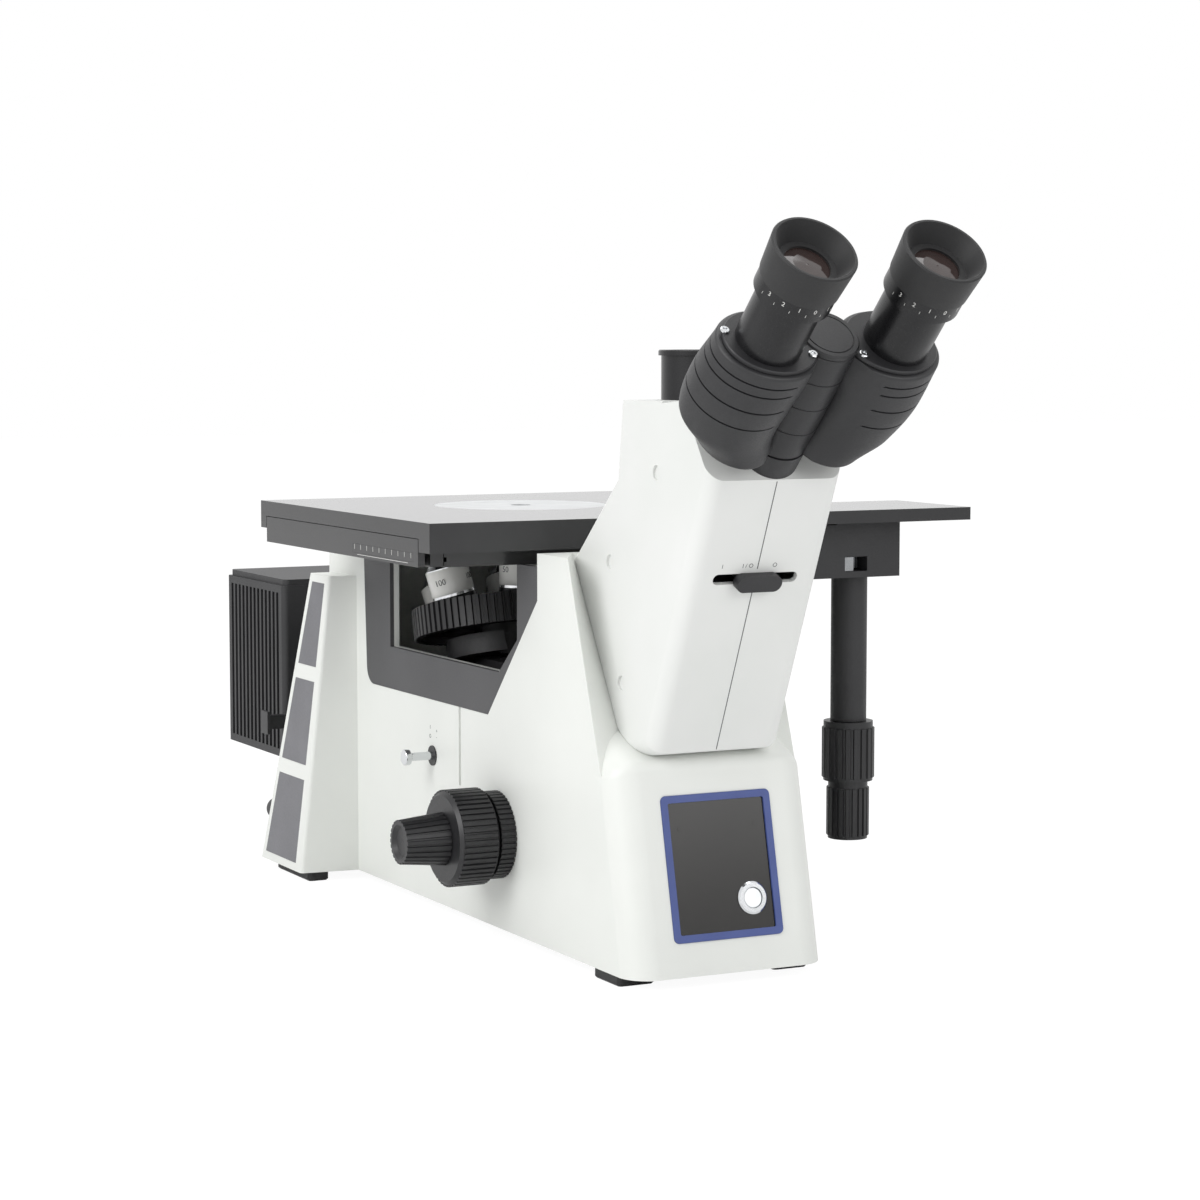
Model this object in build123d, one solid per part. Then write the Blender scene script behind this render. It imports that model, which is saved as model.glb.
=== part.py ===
from build123d import *
import math
import os

os.makedirs("parts", exist_ok=True)

# Inverted microscope, in millimetres.
# The optical axis is x = 0, y = 0 and the bench is z = 0 while it is drawn.
# The user sits at -y, and +x is to the user's right.

# Clearances
running = 0.05          # radial play of a shaft in its bore
sliding = 0.2           # play of a guided slide
loose = 0.3             # gap between pieces that pass each other
seat_play = 0.1         # play round a piece that drops into a recess

# Body castings
body_half_width = 59.5
casting_wall = 6.0
foot_height = 6.0
plate_thickness = 3.0
toe_y = -260.5          # lowest front edge
brow_y = -235.6         # top edge of the leaning front face
brow_z = 116.6
deck_z = 215.5          # flat top under the stage
column_top_z = 223.0
column_rear_y = -146.0
window_front_y = -120.0
window_rear_y = 60.8
window_sill_z = 152.6
window_slope_y = -95.8  # where the sill starts to rise to the front
window_slope_z = 173.0
chamber_rear_y = 95.0
rear_wall_y = 168.0
seam_y = -42.0
front_corner_radius = 16.0
rear_corner_radius = 10.0
seam_groove_width = 3.0
seam_groove_depth = 1.2
seam_groove_low_z = 80.8

# Front column above the shoulder, given at two heights
shoulder_z = 120.0
column_low_side_y = -219.8
column_low_middle_y = -211.4
column_high_side_y = -183.9
column_high_middle_y = -150.0

# Fascias in the side walls
fascia_thickness = 2.5
fascia_front_y = -146.0
fascia_front_z = 197.0
fascia_low_front_y = -81.0
fascia_low_z = 126.8
fascia_rear_low_y = 97.8
fascia_rear_top_y = 102.7
fascia_corner_radius = 11.0

# Rear wings
wing_foot_x = 97.0
wing_top_x = 77.0
wing_top_z = 192.0
wing_front_y = 118.0
wing_root_y = 114.0
wing_foot_rear_y = 189.0
wing_top_rear_y = 150.0
wing_wall = 5.0
wing_edge_radius = 2.5
inlay_count = 3
inlay_gap = 9.5
inlay_margin = 5.0
inlay_thickness = 1.5

# Feet
front_foot_width = 22.0
front_foot_depth = 30.0
front_foot_x = 47.0
front_foot_y = -226.0
rear_foot_width = 14.0
rear_foot_depth = 56.0
rear_foot_x = 84.0
rear_foot_y = 148.0

# Control panel, measured up the leaning front face from the toe
panel_half_width = 33.0
panel_low = 18.0
panel_height = 77.8
bezel_width = 4.0
bezel_depth = 2.5
bezel_proud = 0.6
panel_plate_thickness = 2.0
button_x = 16.5
button_up = 38.4
button_ring_radius = 8.8
button_radius = 5.6
button_proud = 1.0
button_travel = 1.5
lamp_radius = 1.4
lamp_up = 78.0
lamp_half_spacing = 22.8

# Head shells, outline in the plane x = 0
head_half_width = 39.8
head_wall = 3.0
head_edge_radius = 9.0
head_top_front_y = -304.5
head_top_front_z = 269.0
head_top_rear_y = -277.0
head_top_rear_z = 309.0
head_chin_y = -241.0
head_chin_z = 122.0
head_crest_y = -251.0
head_crest_z = 307.0
head_nape_y = -201.0
head_nape_z = 262.0
seam_chamfer = 0.5
plug_radius = 4.0
plug_depth = 1.5

# Tower and camera port
tower_half_width = 38.0
tower_rear_y = -207.0
tower_top_z = 308.0
port_y = -222.0
port_radius = 20.5
port_flange_radius = 22.0
port_height = 26.5
port_flange_thickness = 3.0
port_bore_radius = 15.0
port_bore_depth = 24.0

# Light path selector on the head
selector_up = -56.6     # down the front face from its top edge
selector_slot_left = -25.0
selector_slot_right = 15.5
selector_slot_height = 6.0
selector_knob_left = -13.0
selector_knob_right = 13.5
selector_knob_height = 9.0
selector_knob_proud = 5.0
selector_travel = 10.5

# Binocular: every tube lies along an axis tilted up to the user
eye_tilt = 45.0
eye_half_spacing = 36.5
hinge_drop = 5.0        # the tubes lie this far below the hinge pin
hinge_y = -351.6
hinge_z = 340.6
pod_length = 70.0
pod_top_radius = 28.0
pod_low_radius = 17.0
pod_low_offset = 21.0
pod_edge_radius = 2.0
pod_plate_thickness = 2.5
pod_plate_inset = 3.0
knuckle_radius = 14.0
knuckle_count = 4
hinge_pin_radius = 6.0
ipd_close = 37.0        # degrees from the rest pose to the narrowest setting
ipd_open = 8.0
base_radius = 24.0
base_length = 24.0
cap_thickness = 3.0
tube_radius = 17.0
tube_bore_radius = 14.0
tube_top = 33.0
diopter_radius = 20.0
diopter_height = 12.0
diopter_gap = 1.5
cup_low_radius = 20.6
cup_rim_radius = 22.0
cup_height = 18.5
cup_wall = 1.8
cup_depth = 10.0
lens_radius = 12.0
lens_thickness = 4.0

# Focus drive through the body
focus_y = -95.0
focus_z = 60.0
collar_radius = 25.0
collar_width = 10.0
coarse_radius = 27.5
coarse_width = 24.5
coarse_shaft_radius = 5.0
fine_radius = 15.0
fine_tip_radius = 12.5
fine_width = 26.0
fine_shaft_radius = 3.0
bush_radius = 9.0
knob_ribs = 24
focus_module = 0.8
focus_teeth = 16
focus_pinion_width = 14.0
focus_rack_low = 42.0
focus_rack_high = 78.0

# Nosepiece
turret_tilt = 14.0
turret_y = 33.0
turret_z = 179.0
ring_radius = 53.0
ring_bore_radius = 48.5
ring_height = 17.8
ring_ribs = 72
ring_rib_depth = 1.2
turret_thickness = 9.0
turret_pin_radius = 8.0
objective_count = 5
objective_radius = 13.0
objective_tip_radius = 7.5
objective_length = 34.0
objective_thread_radius = 10.0
objective_thread_length = 5.0
boss_radius = 14.5
carrier_gap = 3.0
carrier_radius = 34.0
carrier_thickness = 12.0
light_radius = 13.0
stem_half_width = 12.0
stem_depth = 12.0
dovetail_depth = 5.0
dovetail_half_width = 8.0
arm_low_z = 128.0
lift_down = 2.0
lift_up = 7.0
guide_half_width = 26.0
guide_rear_y = -46.0
beam_z = 28.0

# Stage plates, from the bottom up
stage_half_width = 121.3
stage_front_y = -140.5
stage_rear_y = 117.5
base_front_y = -125.0
base_rear_y = 108.0
base_half_width = 105.8
base_top_z = 224.0
base_opening_radius = 66.0
carriage_low_z = 224.3
carriage_top_z = 231.3
carriage_opening_radius = 60.0
end_cap_thickness = 4.0
rail_width = 7.8
stage_top_z = 240.8
top_plate_low_z = 231.7
skirt_depth = 15.0
skirt_low_z = 224.3
wing_plate_x = 228.0
wing_plate_rear_y = -60.0
wing_plate_thickness = 7.5
insert_radius = 52.0
insert_thickness = 3.0
insert_ledge = 4.0
insert_hole_radius = 6.0
scale_front_y = -118.0
scale_rear_y = -31.0
scale_low_z = 218.5
scale_height = 5.0
scale_thickness = 0.6
stage_forward = 14.0
stage_back = 26.0
stage_side = 25.0

# Stage drive on the right
drive_x = 168.0
drive_y = -102.0
drive_module = 1.0
drive_teeth = 16
block_right_x = 190.5
block_front_y = -122.0
block_rear_y = -82.0
block_low_z = 200.0
sleeve_radius = 10.75
sleeve_low_z = 113.0
y_shaft_radius = 6.5
x_shaft_radius = 3.5
y_knob_radius = 15.75
y_knob_low_z = 77.0
x_knob_radius = 12.8
x_knob_low_z = 42.0
stage_knob_ribs = 20
y_rack_z = 204.0
rack_height = 8.0
rack_body = 6.0
y_rack_rear_y = -32.0
y_rack_arm_depth = 18.0
x_rack_z = 225.0

# Filter cube slide on the left side
cube_y = -2.7
cube_z = 93.4
rod_radius = 2.5
rod_reach = 15.0
rod_knob_radius = 4.75
rod_knob_length = 4.0
rod_bush_radius = 6.0
rod_bush_proud = 0.7
cube_half = 18.0
cube_travel = 14.0

# Illuminator and lamp house
lamp_axis_z = 108.0
neck_half_width = 36.0
neck_low_z = 78.0
neck_top_z = 152.0
neck_bore_radius = 24.0
lamphouse_front_y = 242.0
lamphouse_rear_y = 350.0
lamphouse_half_width = 60.0
lamphouse_low_z = 61.0
lamphouse_top_z = 180.0
lamphouse_wall = 3.5
lid_thickness = 4.0
lid_inset = 2.0
fin_count = 13
fin_slot_width = 4.0
fin_slot_depth = 2.4
filter_y = 226.0
filter_thickness = 6.0
filter_handle_z = 88.0
filter_handle_height = 9.0
filter_reach_x = 80.0
filter_travel = 28.0
bulb_radius = 6.0
bulb_length = 30.0
collector_radius = 20.0

# Rear connections
inlet_z = 34.0
inlet_width = 27.0
inlet_height = 20.0
inlet_depth = 22.0
inlet_flange = 3.0
inlet_mouth_width = 24.0
inlet_mouth_height = 16.0
inlet_mouth_depth = 16.0
pin_width = 2.0
pin_height = 4.0
pin_length = 12.0
pin_spacing = 7.0
fuse_x = 84.0
fuse_z = 36.0
fuse_radius = 7.0
fuse_length = 12.0

# Worked out from the sizes above
shoulder_slope = math.tan(math.radians(25.1))
face_dy = brow_y - toe_y
face_dz = brow_z - foot_height
face_length = math.hypot(face_dy, face_dz)
left = -1
right = 1
focus_pitch_radius = focus_module * focus_teeth / 2
drive_pitch_radius = drive_module * drive_teeth / 2
rack_face_y = focus_y + focus_pitch_radius
y_rack_face_x = drive_x - drive_pitch_radius
x_rack_face_y = drive_y + drive_pitch_radius
eye_axis = Vector(0, -math.sin(math.radians(eye_tilt)), math.cos(math.radians(eye_tilt)))
hinge_point = Vector(0, hinge_y, hinge_z)
turret_axis = Vector(0, math.sin(math.radians(turret_tilt)), math.cos(math.radians(turret_tilt)))
turret_point = Vector(0, turret_y, turret_z)
objective_circle = turret_y / math.cos(math.radians(turret_tilt))
carriage_right_x = stage_half_width
reach_left = stage_half_width
reach_front = -hinge_y + (tube_top + diopter_height + diopter_gap + cup_height) * math.sin(
    math.radians(eye_tilt)) + hinge_drop * math.cos(math.radians(eye_tilt)) + cup_rim_radius * math.cos(
    math.radians(eye_tilt))
centre_x = (wing_plate_x - reach_left) / 2
centre_y = (lamphouse_rear_y - reach_front) / 2


def polygon(points, plane):
    """Face on a plane from corners (a, b), or (a, b, radius) where a corner is round."""
    face = make_face(Polyline(*[(p[0], p[1]) for p in points], close=True))
    for corner in points:
        if len(corner) == 3:
            vertex = face.vertices().sort_by_distance((corner[0], corner[1], 0))[0]
            face = fillet(vertex, corner[2])
    return plane * face


def across(points, x_low, x_high):
    """Solid with a side outline of (y, z) corners, from x_low to x_high."""
    face = polygon(points, Plane(origin=(x_low, 0, 0), x_dir=(0, 1, 0), z_dir=(1, 0, 0)))
    return extrude(face, amount=x_high - x_low, dir=(1, 0, 0))


def upright(points, z_low, z_high):
    """Solid with a plan outline of (x, y) corners, from z_low to z_high."""
    return extrude(polygon(points, Plane.XY.offset(z_low)), amount=z_high - z_low, dir=(0, 0, 1))


def block(x_low, x_high, y_low, y_high, z_low, z_high):
    """Box between two corners."""
    size = Box(x_high - x_low, y_high - y_low, z_high - z_low, align=Align.MIN)
    return Pos(x_low, y_low, z_low) * size


def frame_along(origin, direction, side=(1, 0, 0)):
    """Plane whose z runs along a direction and whose x is the side direction."""
    return Plane(origin=origin, x_dir=side, z_dir=direction)


def rod(plane, radius, low, high):
    """Cylinder along a plane's z, from low to high."""
    return plane * Pos(0, 0, low) * Cylinder(radius, high - low, align=(Align.CENTER, Align.CENTER, Align.MIN))


def tube(plane, radius, bore, low, high):
    """Hollow cylinder along a plane's z."""
    return rod(plane, radius, low, high) - rod(plane, bore, low - 1, high + 1)


def turned(plane, profile):
    """Turned solid about a plane's z, from corners (radius, height)."""
    face = make_face(Polyline(*[(r, 0, h) for r, h in profile], close=True))
    return plane * revolve(face, Axis.Z)


def ribbed_face(radius, depth, count, land=0.55):
    """Round outline with straight ribs, as a knurled grip has."""
    step = 2 * math.pi / count
    corners = []
    for index in range(count):
        start = index * step
        for share, level in ((0.0, radius), (land, radius), (land + 0.1, radius - depth), (0.9, radius - depth)):
            angle = start + share * step
            corners.append((level * math.cos(angle), level * math.sin(angle)))
    return make_face(Polyline(*corners, close=True))


def ribbed(plane, radius, depth, count, low, high):
    """Ribbed grip along a plane's z."""
    return plane * extrude(Pos(0, 0, low) * ribbed_face(radius, depth, count), amount=high - low, dir=(0, 0, 1))


# Gear teeth
pressure_angle = math.radians(20)
addendum = 0.8          # in modules, short enough for a small pinion
dedendum = 1.05
backlash = 0.12


def involute(base, radius):
    """Polar angle of an involute of a base circle, at a radius."""
    roll = math.sqrt(max((radius / base) ** 2 - 1, 0))
    return roll - math.atan(roll)


def pinion_face(module, teeth, turn=0.0):
    """Involute pinion outline with one tooth centred at the angle turn."""
    pitch = module * teeth / 2
    base = pitch * math.cos(pressure_angle)
    root = pitch - dedendum * module
    tip = pitch + addendum * module
    half = (math.pi * module / 2 - backlash) / (2 * pitch) + involute(base, pitch)
    levels = [root] + [max(base, root) + (tip - max(base, root)) * k / 4 for k in range(5)]
    corners = []
    for tooth in range(teeth):
        middle = turn + 2 * math.pi * tooth / teeth
        offsets = [half - involute(base, max(level, base)) for level in levels]
        rise = [(level, middle - offset) for level, offset in zip(levels, offsets)]
        fall = [(level, middle + offset) for level, offset in reversed(list(zip(levels, offsets)))]
        corners += [(r * math.cos(a), r * math.sin(a)) for r, a in rise + fall]
    return make_face(Polyline(*corners, close=True))


def rack_face(module, low, high, body, middle):
    """Rack outline: teeth point to -x from x = 0 as pitch line, y runs from low to high.
    A gap is centred at y = middle."""
    pitch = math.pi * module
    half = (pitch / 2 - backlash) / 2
    lean = math.tan(pressure_angle)
    top = addendum * module
    foot = dedendum * module
    first = math.ceil((low + pitch - middle) / pitch)
    last = math.floor((high - pitch - middle) / pitch)
    corners = [(foot + body, low), (foot, low)]
    for index in range(first, last + 1):
        centre = middle + (index + 0.5) * pitch
        corners.append((foot, centre - half - lean * foot))
        corners.append((-top, centre - half + lean * top))
        corners.append((-top, centre + half - lean * top))
        corners.append((foot, centre + half + lean * foot))
    corners += [(foot, high), (foot + body, high)]
    return make_face(Polyline(*corners, close=True))


def both_sides(shape):
    """A piece and its mirror image across the middle plane."""
    return Compound(children=[*shape.solids(), *mirror(shape, about=Plane.YZ).solids()])


def put(name, shape):
    """Writes one piece, with the origin under the middle of the whole object."""
    moved = Pos(-centre_x, -centre_y, 0) * shape
    export_step(moved, f"parts/{name}.step")


def face_plane():
    """Plane of the leaning front face: x to the right, y up the face, z outwards."""
    return Plane(origin=(0, toe_y, foot_height), x_dir=(1, 0, 0), z_dir=(0, -face_dz, face_dy))


def head_plane():
    """Plane of the head's front face, from its top edge: z outwards."""
    rise = head_top_front_z - head_chin_z
    run = head_chin_y - head_top_front_y
    return Plane(origin=(0, head_top_front_y, head_top_front_z), x_dir=(1, 0, 0), z_dir=(0, -rise, -run))


def eye_plane():
    """Plane across the hinge pin at the top of the prism housings."""
    return frame_along(hinge_point, eye_axis)


def turret_plane():
    """Plane of the nosepiece's top face."""
    return frame_along(turret_point, turret_axis)


def window_outline(margin=0.0):
    """Side window that gives access to the nosepiece."""
    return [
        (window_front_y - margin, deck_z + 1),
        (window_front_y - margin, window_slope_z - margin / 2),
        (window_slope_y - margin / 2, window_sill_z - margin),
        (window_rear_y + margin, window_sill_z - margin),
        (window_rear_y + margin, deck_z + 1),
    ]


def fascia_outline(margin=0.0):
    """Outer outline of a fascia, grown by a margin for its recess."""
    return [
        (fascia_front_y - margin, deck_z + margin),
        (fascia_front_y - margin, fascia_front_z - margin / 2),
        (fascia_low_front_y - margin / 2, fascia_low_z - margin),
        (fascia_rear_low_y + margin, fascia_low_z - margin, fascia_corner_radius),
        (fascia_rear_top_y + margin, deck_z + margin),
    ]


def fascias():
    """Two thin frames set flush round the side windows."""
    outer = body_half_width
    plate = across(fascia_outline(), -outer, -outer + fascia_thickness)
    plate -= across(window_outline(), -outer - 1, -outer + fascia_thickness + 1)
    return both_sides(plate)


def shoulder_at(y):
    """Height of the sloping shoulder at a distance y."""
    return brow_z + (y - brow_y) * shoulder_slope


def column():
    """Front column that narrows to the rear as it rises and leaves the head's seat."""
    sections = []
    for z, side_y, middle_y in (
        (shoulder_z - 10, column_low_side_y - 3.5, column_low_middle_y - 6),
        (column_top_z, column_high_side_y, column_high_middle_y),
    ):
        outline = [
            (-body_half_width, window_front_y),
            (-body_half_width, side_y),
            (-head_half_width, middle_y),
            (head_half_width, middle_y),
            (body_half_width, side_y),
            (body_half_width, window_front_y),
        ]
        sections.append(polygon(outline, Plane.XY.offset(z)))
    solid = loft(sections, ruled=True)
    solid -= block(-100, 100, column_rear_y, 0, deck_z, column_top_z + 1)
    return solid


def column_front_y(z):
    """Front of the column's middle at a height, where the head sits."""
    low_z = shoulder_z - 10
    low_y = column_low_middle_y - 6
    return low_y + (z - low_z) * (column_high_middle_y - low_y) / (column_top_z - low_z)


def body_outside():
    """Outer form of both castings before they are hollowed and parted."""
    foot_y = window_front_y - 80
    tub = across([
        (toe_y, foot_height),
        (brow_y, brow_z, 8),
        (foot_y, shoulder_at(foot_y)),
        (window_front_y, shoulder_at(foot_y)),
        (window_front_y, deck_z),
        (rear_wall_y, deck_z),
        (rear_wall_y, foot_height),
    ], -body_half_width, body_half_width)
    front_edges = tub.edges().filter_by(
        lambda e: abs(abs(e.center().X) - body_half_width) < 0.1 and e.center().Y < foot_y
        and e.bounding_box().min.Z + 1 > foot_height and e.length > 5 and e.center().Z > foot_height + 1)
    tub = fillet(front_edges, front_corner_radius)
    rear_edges = tub.edges().filter_by(Axis.Z).filter_by(lambda e: abs(e.center().Y - rear_wall_y) < 0.1)
    tub = fillet(rear_edges, rear_corner_radius)
    return tub + column()


def body_hollow():
    """Space inside the castings, open below and open above under the stage."""
    inside = body_half_width - casting_wall
    lean = face_length / face_dz
    front_low = toe_y + casting_wall * lean
    front_high = brow_y + casting_wall * lean
    column_wall = casting_wall * 1.3
    outline = [
        (front_low - 1, foot_height - 1),
        (front_high, brow_z - casting_wall),
        (column_front_y(shoulder_z + 10) + column_wall, shoulder_z + 6),
        (column_front_y(deck_z - casting_wall) + column_wall, deck_z - casting_wall),
        (window_front_y - casting_wall, deck_z - casting_wall),
        (window_front_y - casting_wall, window_sill_z - casting_wall),
        (window_front_y, window_sill_z - casting_wall),
        (window_front_y, deck_z + 1),
        (chamber_rear_y, deck_z + 1),
        (chamber_rear_y, deck_z - casting_wall),
        (rear_wall_y - casting_wall, deck_z - casting_wall),
        (rear_wall_y - casting_wall, foot_height - 1),
    ]
    hollow = across(outline, -inside, inside)
    for side in (left, right):
        hollow -= corner_filler(side, shoulder_z)
    return hollow


def corner_filler(side, top, margin=0.0):
    """Metal kept inside a front corner of the casting, grown by a margin to trim the plate."""
    inside = body_half_width - casting_wall
    corner = front_corner_radius * 0.6
    rear_y = toe_y + 2 * corner + 22 + margin
    return upright([
        (side * (inside + 1), toe_y - 5),
        (side * (inside + 1), rear_y),
        (side * (inside - 2 - margin), rear_y),
        (side * (inside - corner - 3 - margin), toe_y - 5),
    ], foot_height - 2, top)


def wing_section(z, x_out, rear_y, inset):
    """Plan outline of the left wing at a height, moved inwards by an inset."""
    root_x = body_half_width - casting_wall / 2
    if inset:
        root_x = body_half_width + casting_wall / 2
    corners = [
        (-root_x, wing_root_y + inset),
        (-x_out + inset, wing_front_y + inset),
        (-x_out + inset, rear_y - inset),
        (-root_x, rear_y - inset),
    ]
    return polygon(corners, Plane.XY.offset(z))


def left_wing():
    """Hollow buttress beside the rear wall, with shallow recesses on its outer face."""
    solid = loft([
        wing_section(foot_height, wing_foot_x, wing_foot_rear_y, 0),
        wing_section(wing_top_z, wing_top_x, wing_top_rear_y, 0),
    ], ruled=True)
    outer = solid.edges().filter_by(lambda e: e.center().X < -wing_top_x and e.length > 150)
    solid = fillet(outer, wing_edge_radius)
    hollow_z = wing_top_z - 4 * wing_wall
    share = (hollow_z - foot_height) / (wing_top_z - foot_height)
    hollow_x = wing_foot_x + (wing_top_x - wing_foot_x) * share
    hollow_rear_y = wing_foot_rear_y + (wing_top_rear_y - wing_foot_rear_y) * share
    solid -= loft([
        wing_section(foot_height + plate_thickness, wing_foot_x, wing_foot_rear_y, wing_wall),
        wing_section(hollow_z, hollow_x, hollow_rear_y, wing_wall),
    ], ruled=True)
    for recess in left_inlays(seat_play):
        solid -= recess
    return solid


def left_inlays(margin=0.0):
    """Plates one above the other on the left wing's outer face, grown by a margin for their recesses."""
    rise = wing_top_z - foot_height
    lean = wing_foot_x - wing_top_x
    length = math.hypot(rise, lean)
    plane = Plane(origin=(-wing_foot_x, wing_front_y, foot_height), x_dir=(0, -1, 0), z_dir=(-rise, 0, lean))
    pitch = (length - 2 * inlay_margin + inlay_gap) / inlay_count
    foot_depth = wing_foot_rear_y - wing_front_y
    top_depth = wing_top_rear_y - wing_front_y
    plates = []
    for index in range(inlay_count):
        low = inlay_margin + index * pitch
        high = low + pitch - inlay_gap
        corners = []
        for height, sign in ((low, -1), (high, 1)):
            share = height / length
            front = inlay_margin * (2.1 - share) - margin
            rear = foot_depth + (top_depth - foot_depth) * share - inlay_margin * 1.4 + margin
            corners.append(((-front, height + sign * margin), (-rear, height + sign * margin)))
        outline = [corners[0][0], corners[0][1], corners[1][1], corners[1][0]]
        plates.append(extrude(polygon(outline, plane), amount=inlay_thickness, dir=-plane.z_dir))
    return plates


def wing_inlays():
    """All the inlay plates of both wings."""
    solids = []
    for plate in left_inlays():
        solids += [*plate.solids(), *mirror(plate, about=Plane.YZ).solids()]
    return Compound(children=solids)


def seam_groove():
    """Shallow vertical groove in both side faces where the castings meet."""
    half = seam_groove_width / 2
    low = -body_half_width - 1
    cut = block(low, -body_half_width + seam_groove_depth, seam_y - half, seam_y + half,
                seam_groove_low_z, fascia_low_z)
    return cut + mirror(cut, about=Plane.YZ)


def castings():
    """Front and rear casting, parted at the seam."""
    body = body_outside()
    body += left_wing()
    body += mirror(left_wing(), about=Plane.YZ)
    body -= body_hollow()
    body -= across(window_outline(), -100, 100)
    recess = across(fascia_outline(seat_play), -body_half_width - 1, -body_half_width + fascia_thickness)
    body -= recess
    body -= mirror(recess, about=Plane.YZ)
    body -= seam_groove()
    body -= panel_recess()
    for side in (left, right):
        start = frame_along((side * body_half_width, focus_y, focus_z), (side, 0, 0), (0, 1, 0))
        body -= rod(start, bush_radius, -2 * casting_wall, casting_wall)
    cube_bore = frame_along((-body_half_width, cube_y, cube_z), (-1, 0, 0), (0, 1, 0))
    body -= rod(cube_bore, rod_bush_radius - 2, -2 * casting_wall, casting_wall)
    lamp_bore = frame_along((0, rear_wall_y, lamp_axis_z), (0, 1, 0))
    body -= rod(lamp_bore, neck_bore_radius, -2 * casting_wall, casting_wall)
    body -= block(-inlet_width / 2, inlet_width / 2, rear_wall_y - 2 * casting_wall, rear_wall_y + 1,
                  inlet_z - inlet_height / 2, inlet_z + inlet_height / 2)
    fuse_hole = frame_along((-fuse_x, wing_foot_rear_y, fuse_z), (0, 1, 0))
    body -= rod(fuse_hole, fuse_radius - 1.5, -4 * wing_wall, wing_wall)
    front = body & block(-200, 200, toe_y - 50, seam_y, 0, 400)
    rear = body & block(-200, 200, seam_y, 400, 0, 400)
    return front, rear


def panel_recess():
    """Recess for the bezel and plate in the front face, with a hole behind for the switches."""
    plane = face_plane()
    outline = Pos(0, panel_low + panel_height / 2) * RectangleRounded(
        2 * (panel_half_width + seat_play), panel_height + 2 * seat_play, 3 + seat_play)
    recess = extrude(plane * outline, amount=bezel_depth + 1, dir=-plane.z_dir)
    outside = extrude(plane * outline, amount=20, dir=plane.z_dir)
    inner_half = panel_half_width - 2 * bezel_width
    hole = plane * Pos(0, panel_low + panel_height / 2) * Rectangle(
        2 * inner_half, panel_height - 4 * bezel_width)
    return recess + outside + extrude(hole, amount=4 * casting_wall, dir=-plane.z_dir)


def panel_bezel():
    """Raised frame round the black panel."""
    plane = face_plane()
    middle = Pos(0, panel_low + panel_height / 2)
    outer = middle * RectangleRounded(2 * panel_half_width, panel_height, 3)
    inner = middle * RectangleRounded(
        2 * (panel_half_width - bezel_width), panel_height - 2 * bezel_width, 1)
    low = plane.offset(-bezel_depth - 1)
    return extrude(low * (outer - inner), amount=bezel_depth + 1 + bezel_proud, dir=plane.z_dir)


def control_panel():
    """Black plate inside the bezel, with two small lamps set in it."""
    plane = face_plane()
    middle = Pos(0, panel_low + panel_height / 2)
    outline = middle * RectangleRounded(
        2 * (panel_half_width - bezel_width), panel_height - 2 * bezel_width, 1)
    low = plane.offset(-bezel_depth - 1)
    plate = extrude(low * outline, amount=panel_plate_thickness + 1, dir=plane.z_dir)
    lamps = []
    for side in (left, right):
        spot = plane * Pos(side * lamp_half_spacing, lamp_up)
        lamp_plane = Plane(spot)
        plate -= rod(lamp_plane, lamp_radius, -20, 5)
        lamps += rod(lamp_plane, lamp_radius, -bezel_depth - 1, -bezel_depth + panel_plate_thickness + 0.2).solids()
    button = Plane(plane * Pos(button_x, button_up))
    plate -= rod(button, button_ring_radius - 1.2, -20, 5)
    return Compound(children=[*plate.solids(), *lamps])


def button_plane():
    """Plane of the push button, on the front face."""
    return Plane(face_plane() * Pos(button_x, button_up))


def button_ring():
    """Chrome bushing of the push button, with its flange on the panel and its nut behind."""
    plane = button_plane()
    top = panel_plate_thickness - bezel_depth
    profile = [
        (button_radius + running * 2, -casting_wall * 2),
        (button_ring_radius - 1.3, -casting_wall * 2),
        (button_ring_radius - 1.3, top),
        (button_ring_radius, top),
        (button_ring_radius, top + 0.7),
        (button_ring_radius - 0.9, top + button_proud + 0.4),
        (button_radius + running * 2, top + button_proud + 0.4),
    ]
    return turned(plane, profile)


def power_button():
    """Round cap of the push button, with a stop flange behind the bushing."""
    plane = button_plane()
    top = panel_plate_thickness - bezel_depth + button_proud
    back = -casting_wall * 2 - loose
    profile = [
        (0, back - 2),
        (button_radius + 1.2, back - 2),
        (button_radius + 1.2, back),
        (button_radius, back),
        (button_radius, top - 0.5),
        (button_radius - 0.5, top),
        (0, top),
    ]
    return turned(plane, profile)


def bottom_plate():
    """Steel plate that closes the underside."""
    inside = body_half_width - casting_wall - sliding
    plate = block(-inside, inside, toe_y + casting_wall * 1.5 + 2, rear_wall_y - casting_wall - sliding,
                  foot_height, foot_height + plate_thickness)
    for side in (left, right):
        plate -= corner_filler(side, foot_height + plate_thickness + 1, sliding)
    return plate


def feet():
    """Two front feet and two rear feet."""
    solids = []
    for x, y, width, depth in (
        (front_foot_x, front_foot_y, front_foot_width, front_foot_depth),
        (rear_foot_x, rear_foot_y, rear_foot_width, rear_foot_depth),
    ):
        foot = block(-x - width / 2, -x + width / 2, y - depth / 2, y + depth / 2, 0, foot_height)
        foot = fillet(foot.edges().filter_by(Axis.Z), 3)
        foot = chamfer(foot.faces().sort_by(Axis.Z)[0].edges(), 1)
        solids += [*foot.solids(), *mirror(foot, about=Plane.YZ).solids()]
    return Compound(children=solids)


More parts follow.
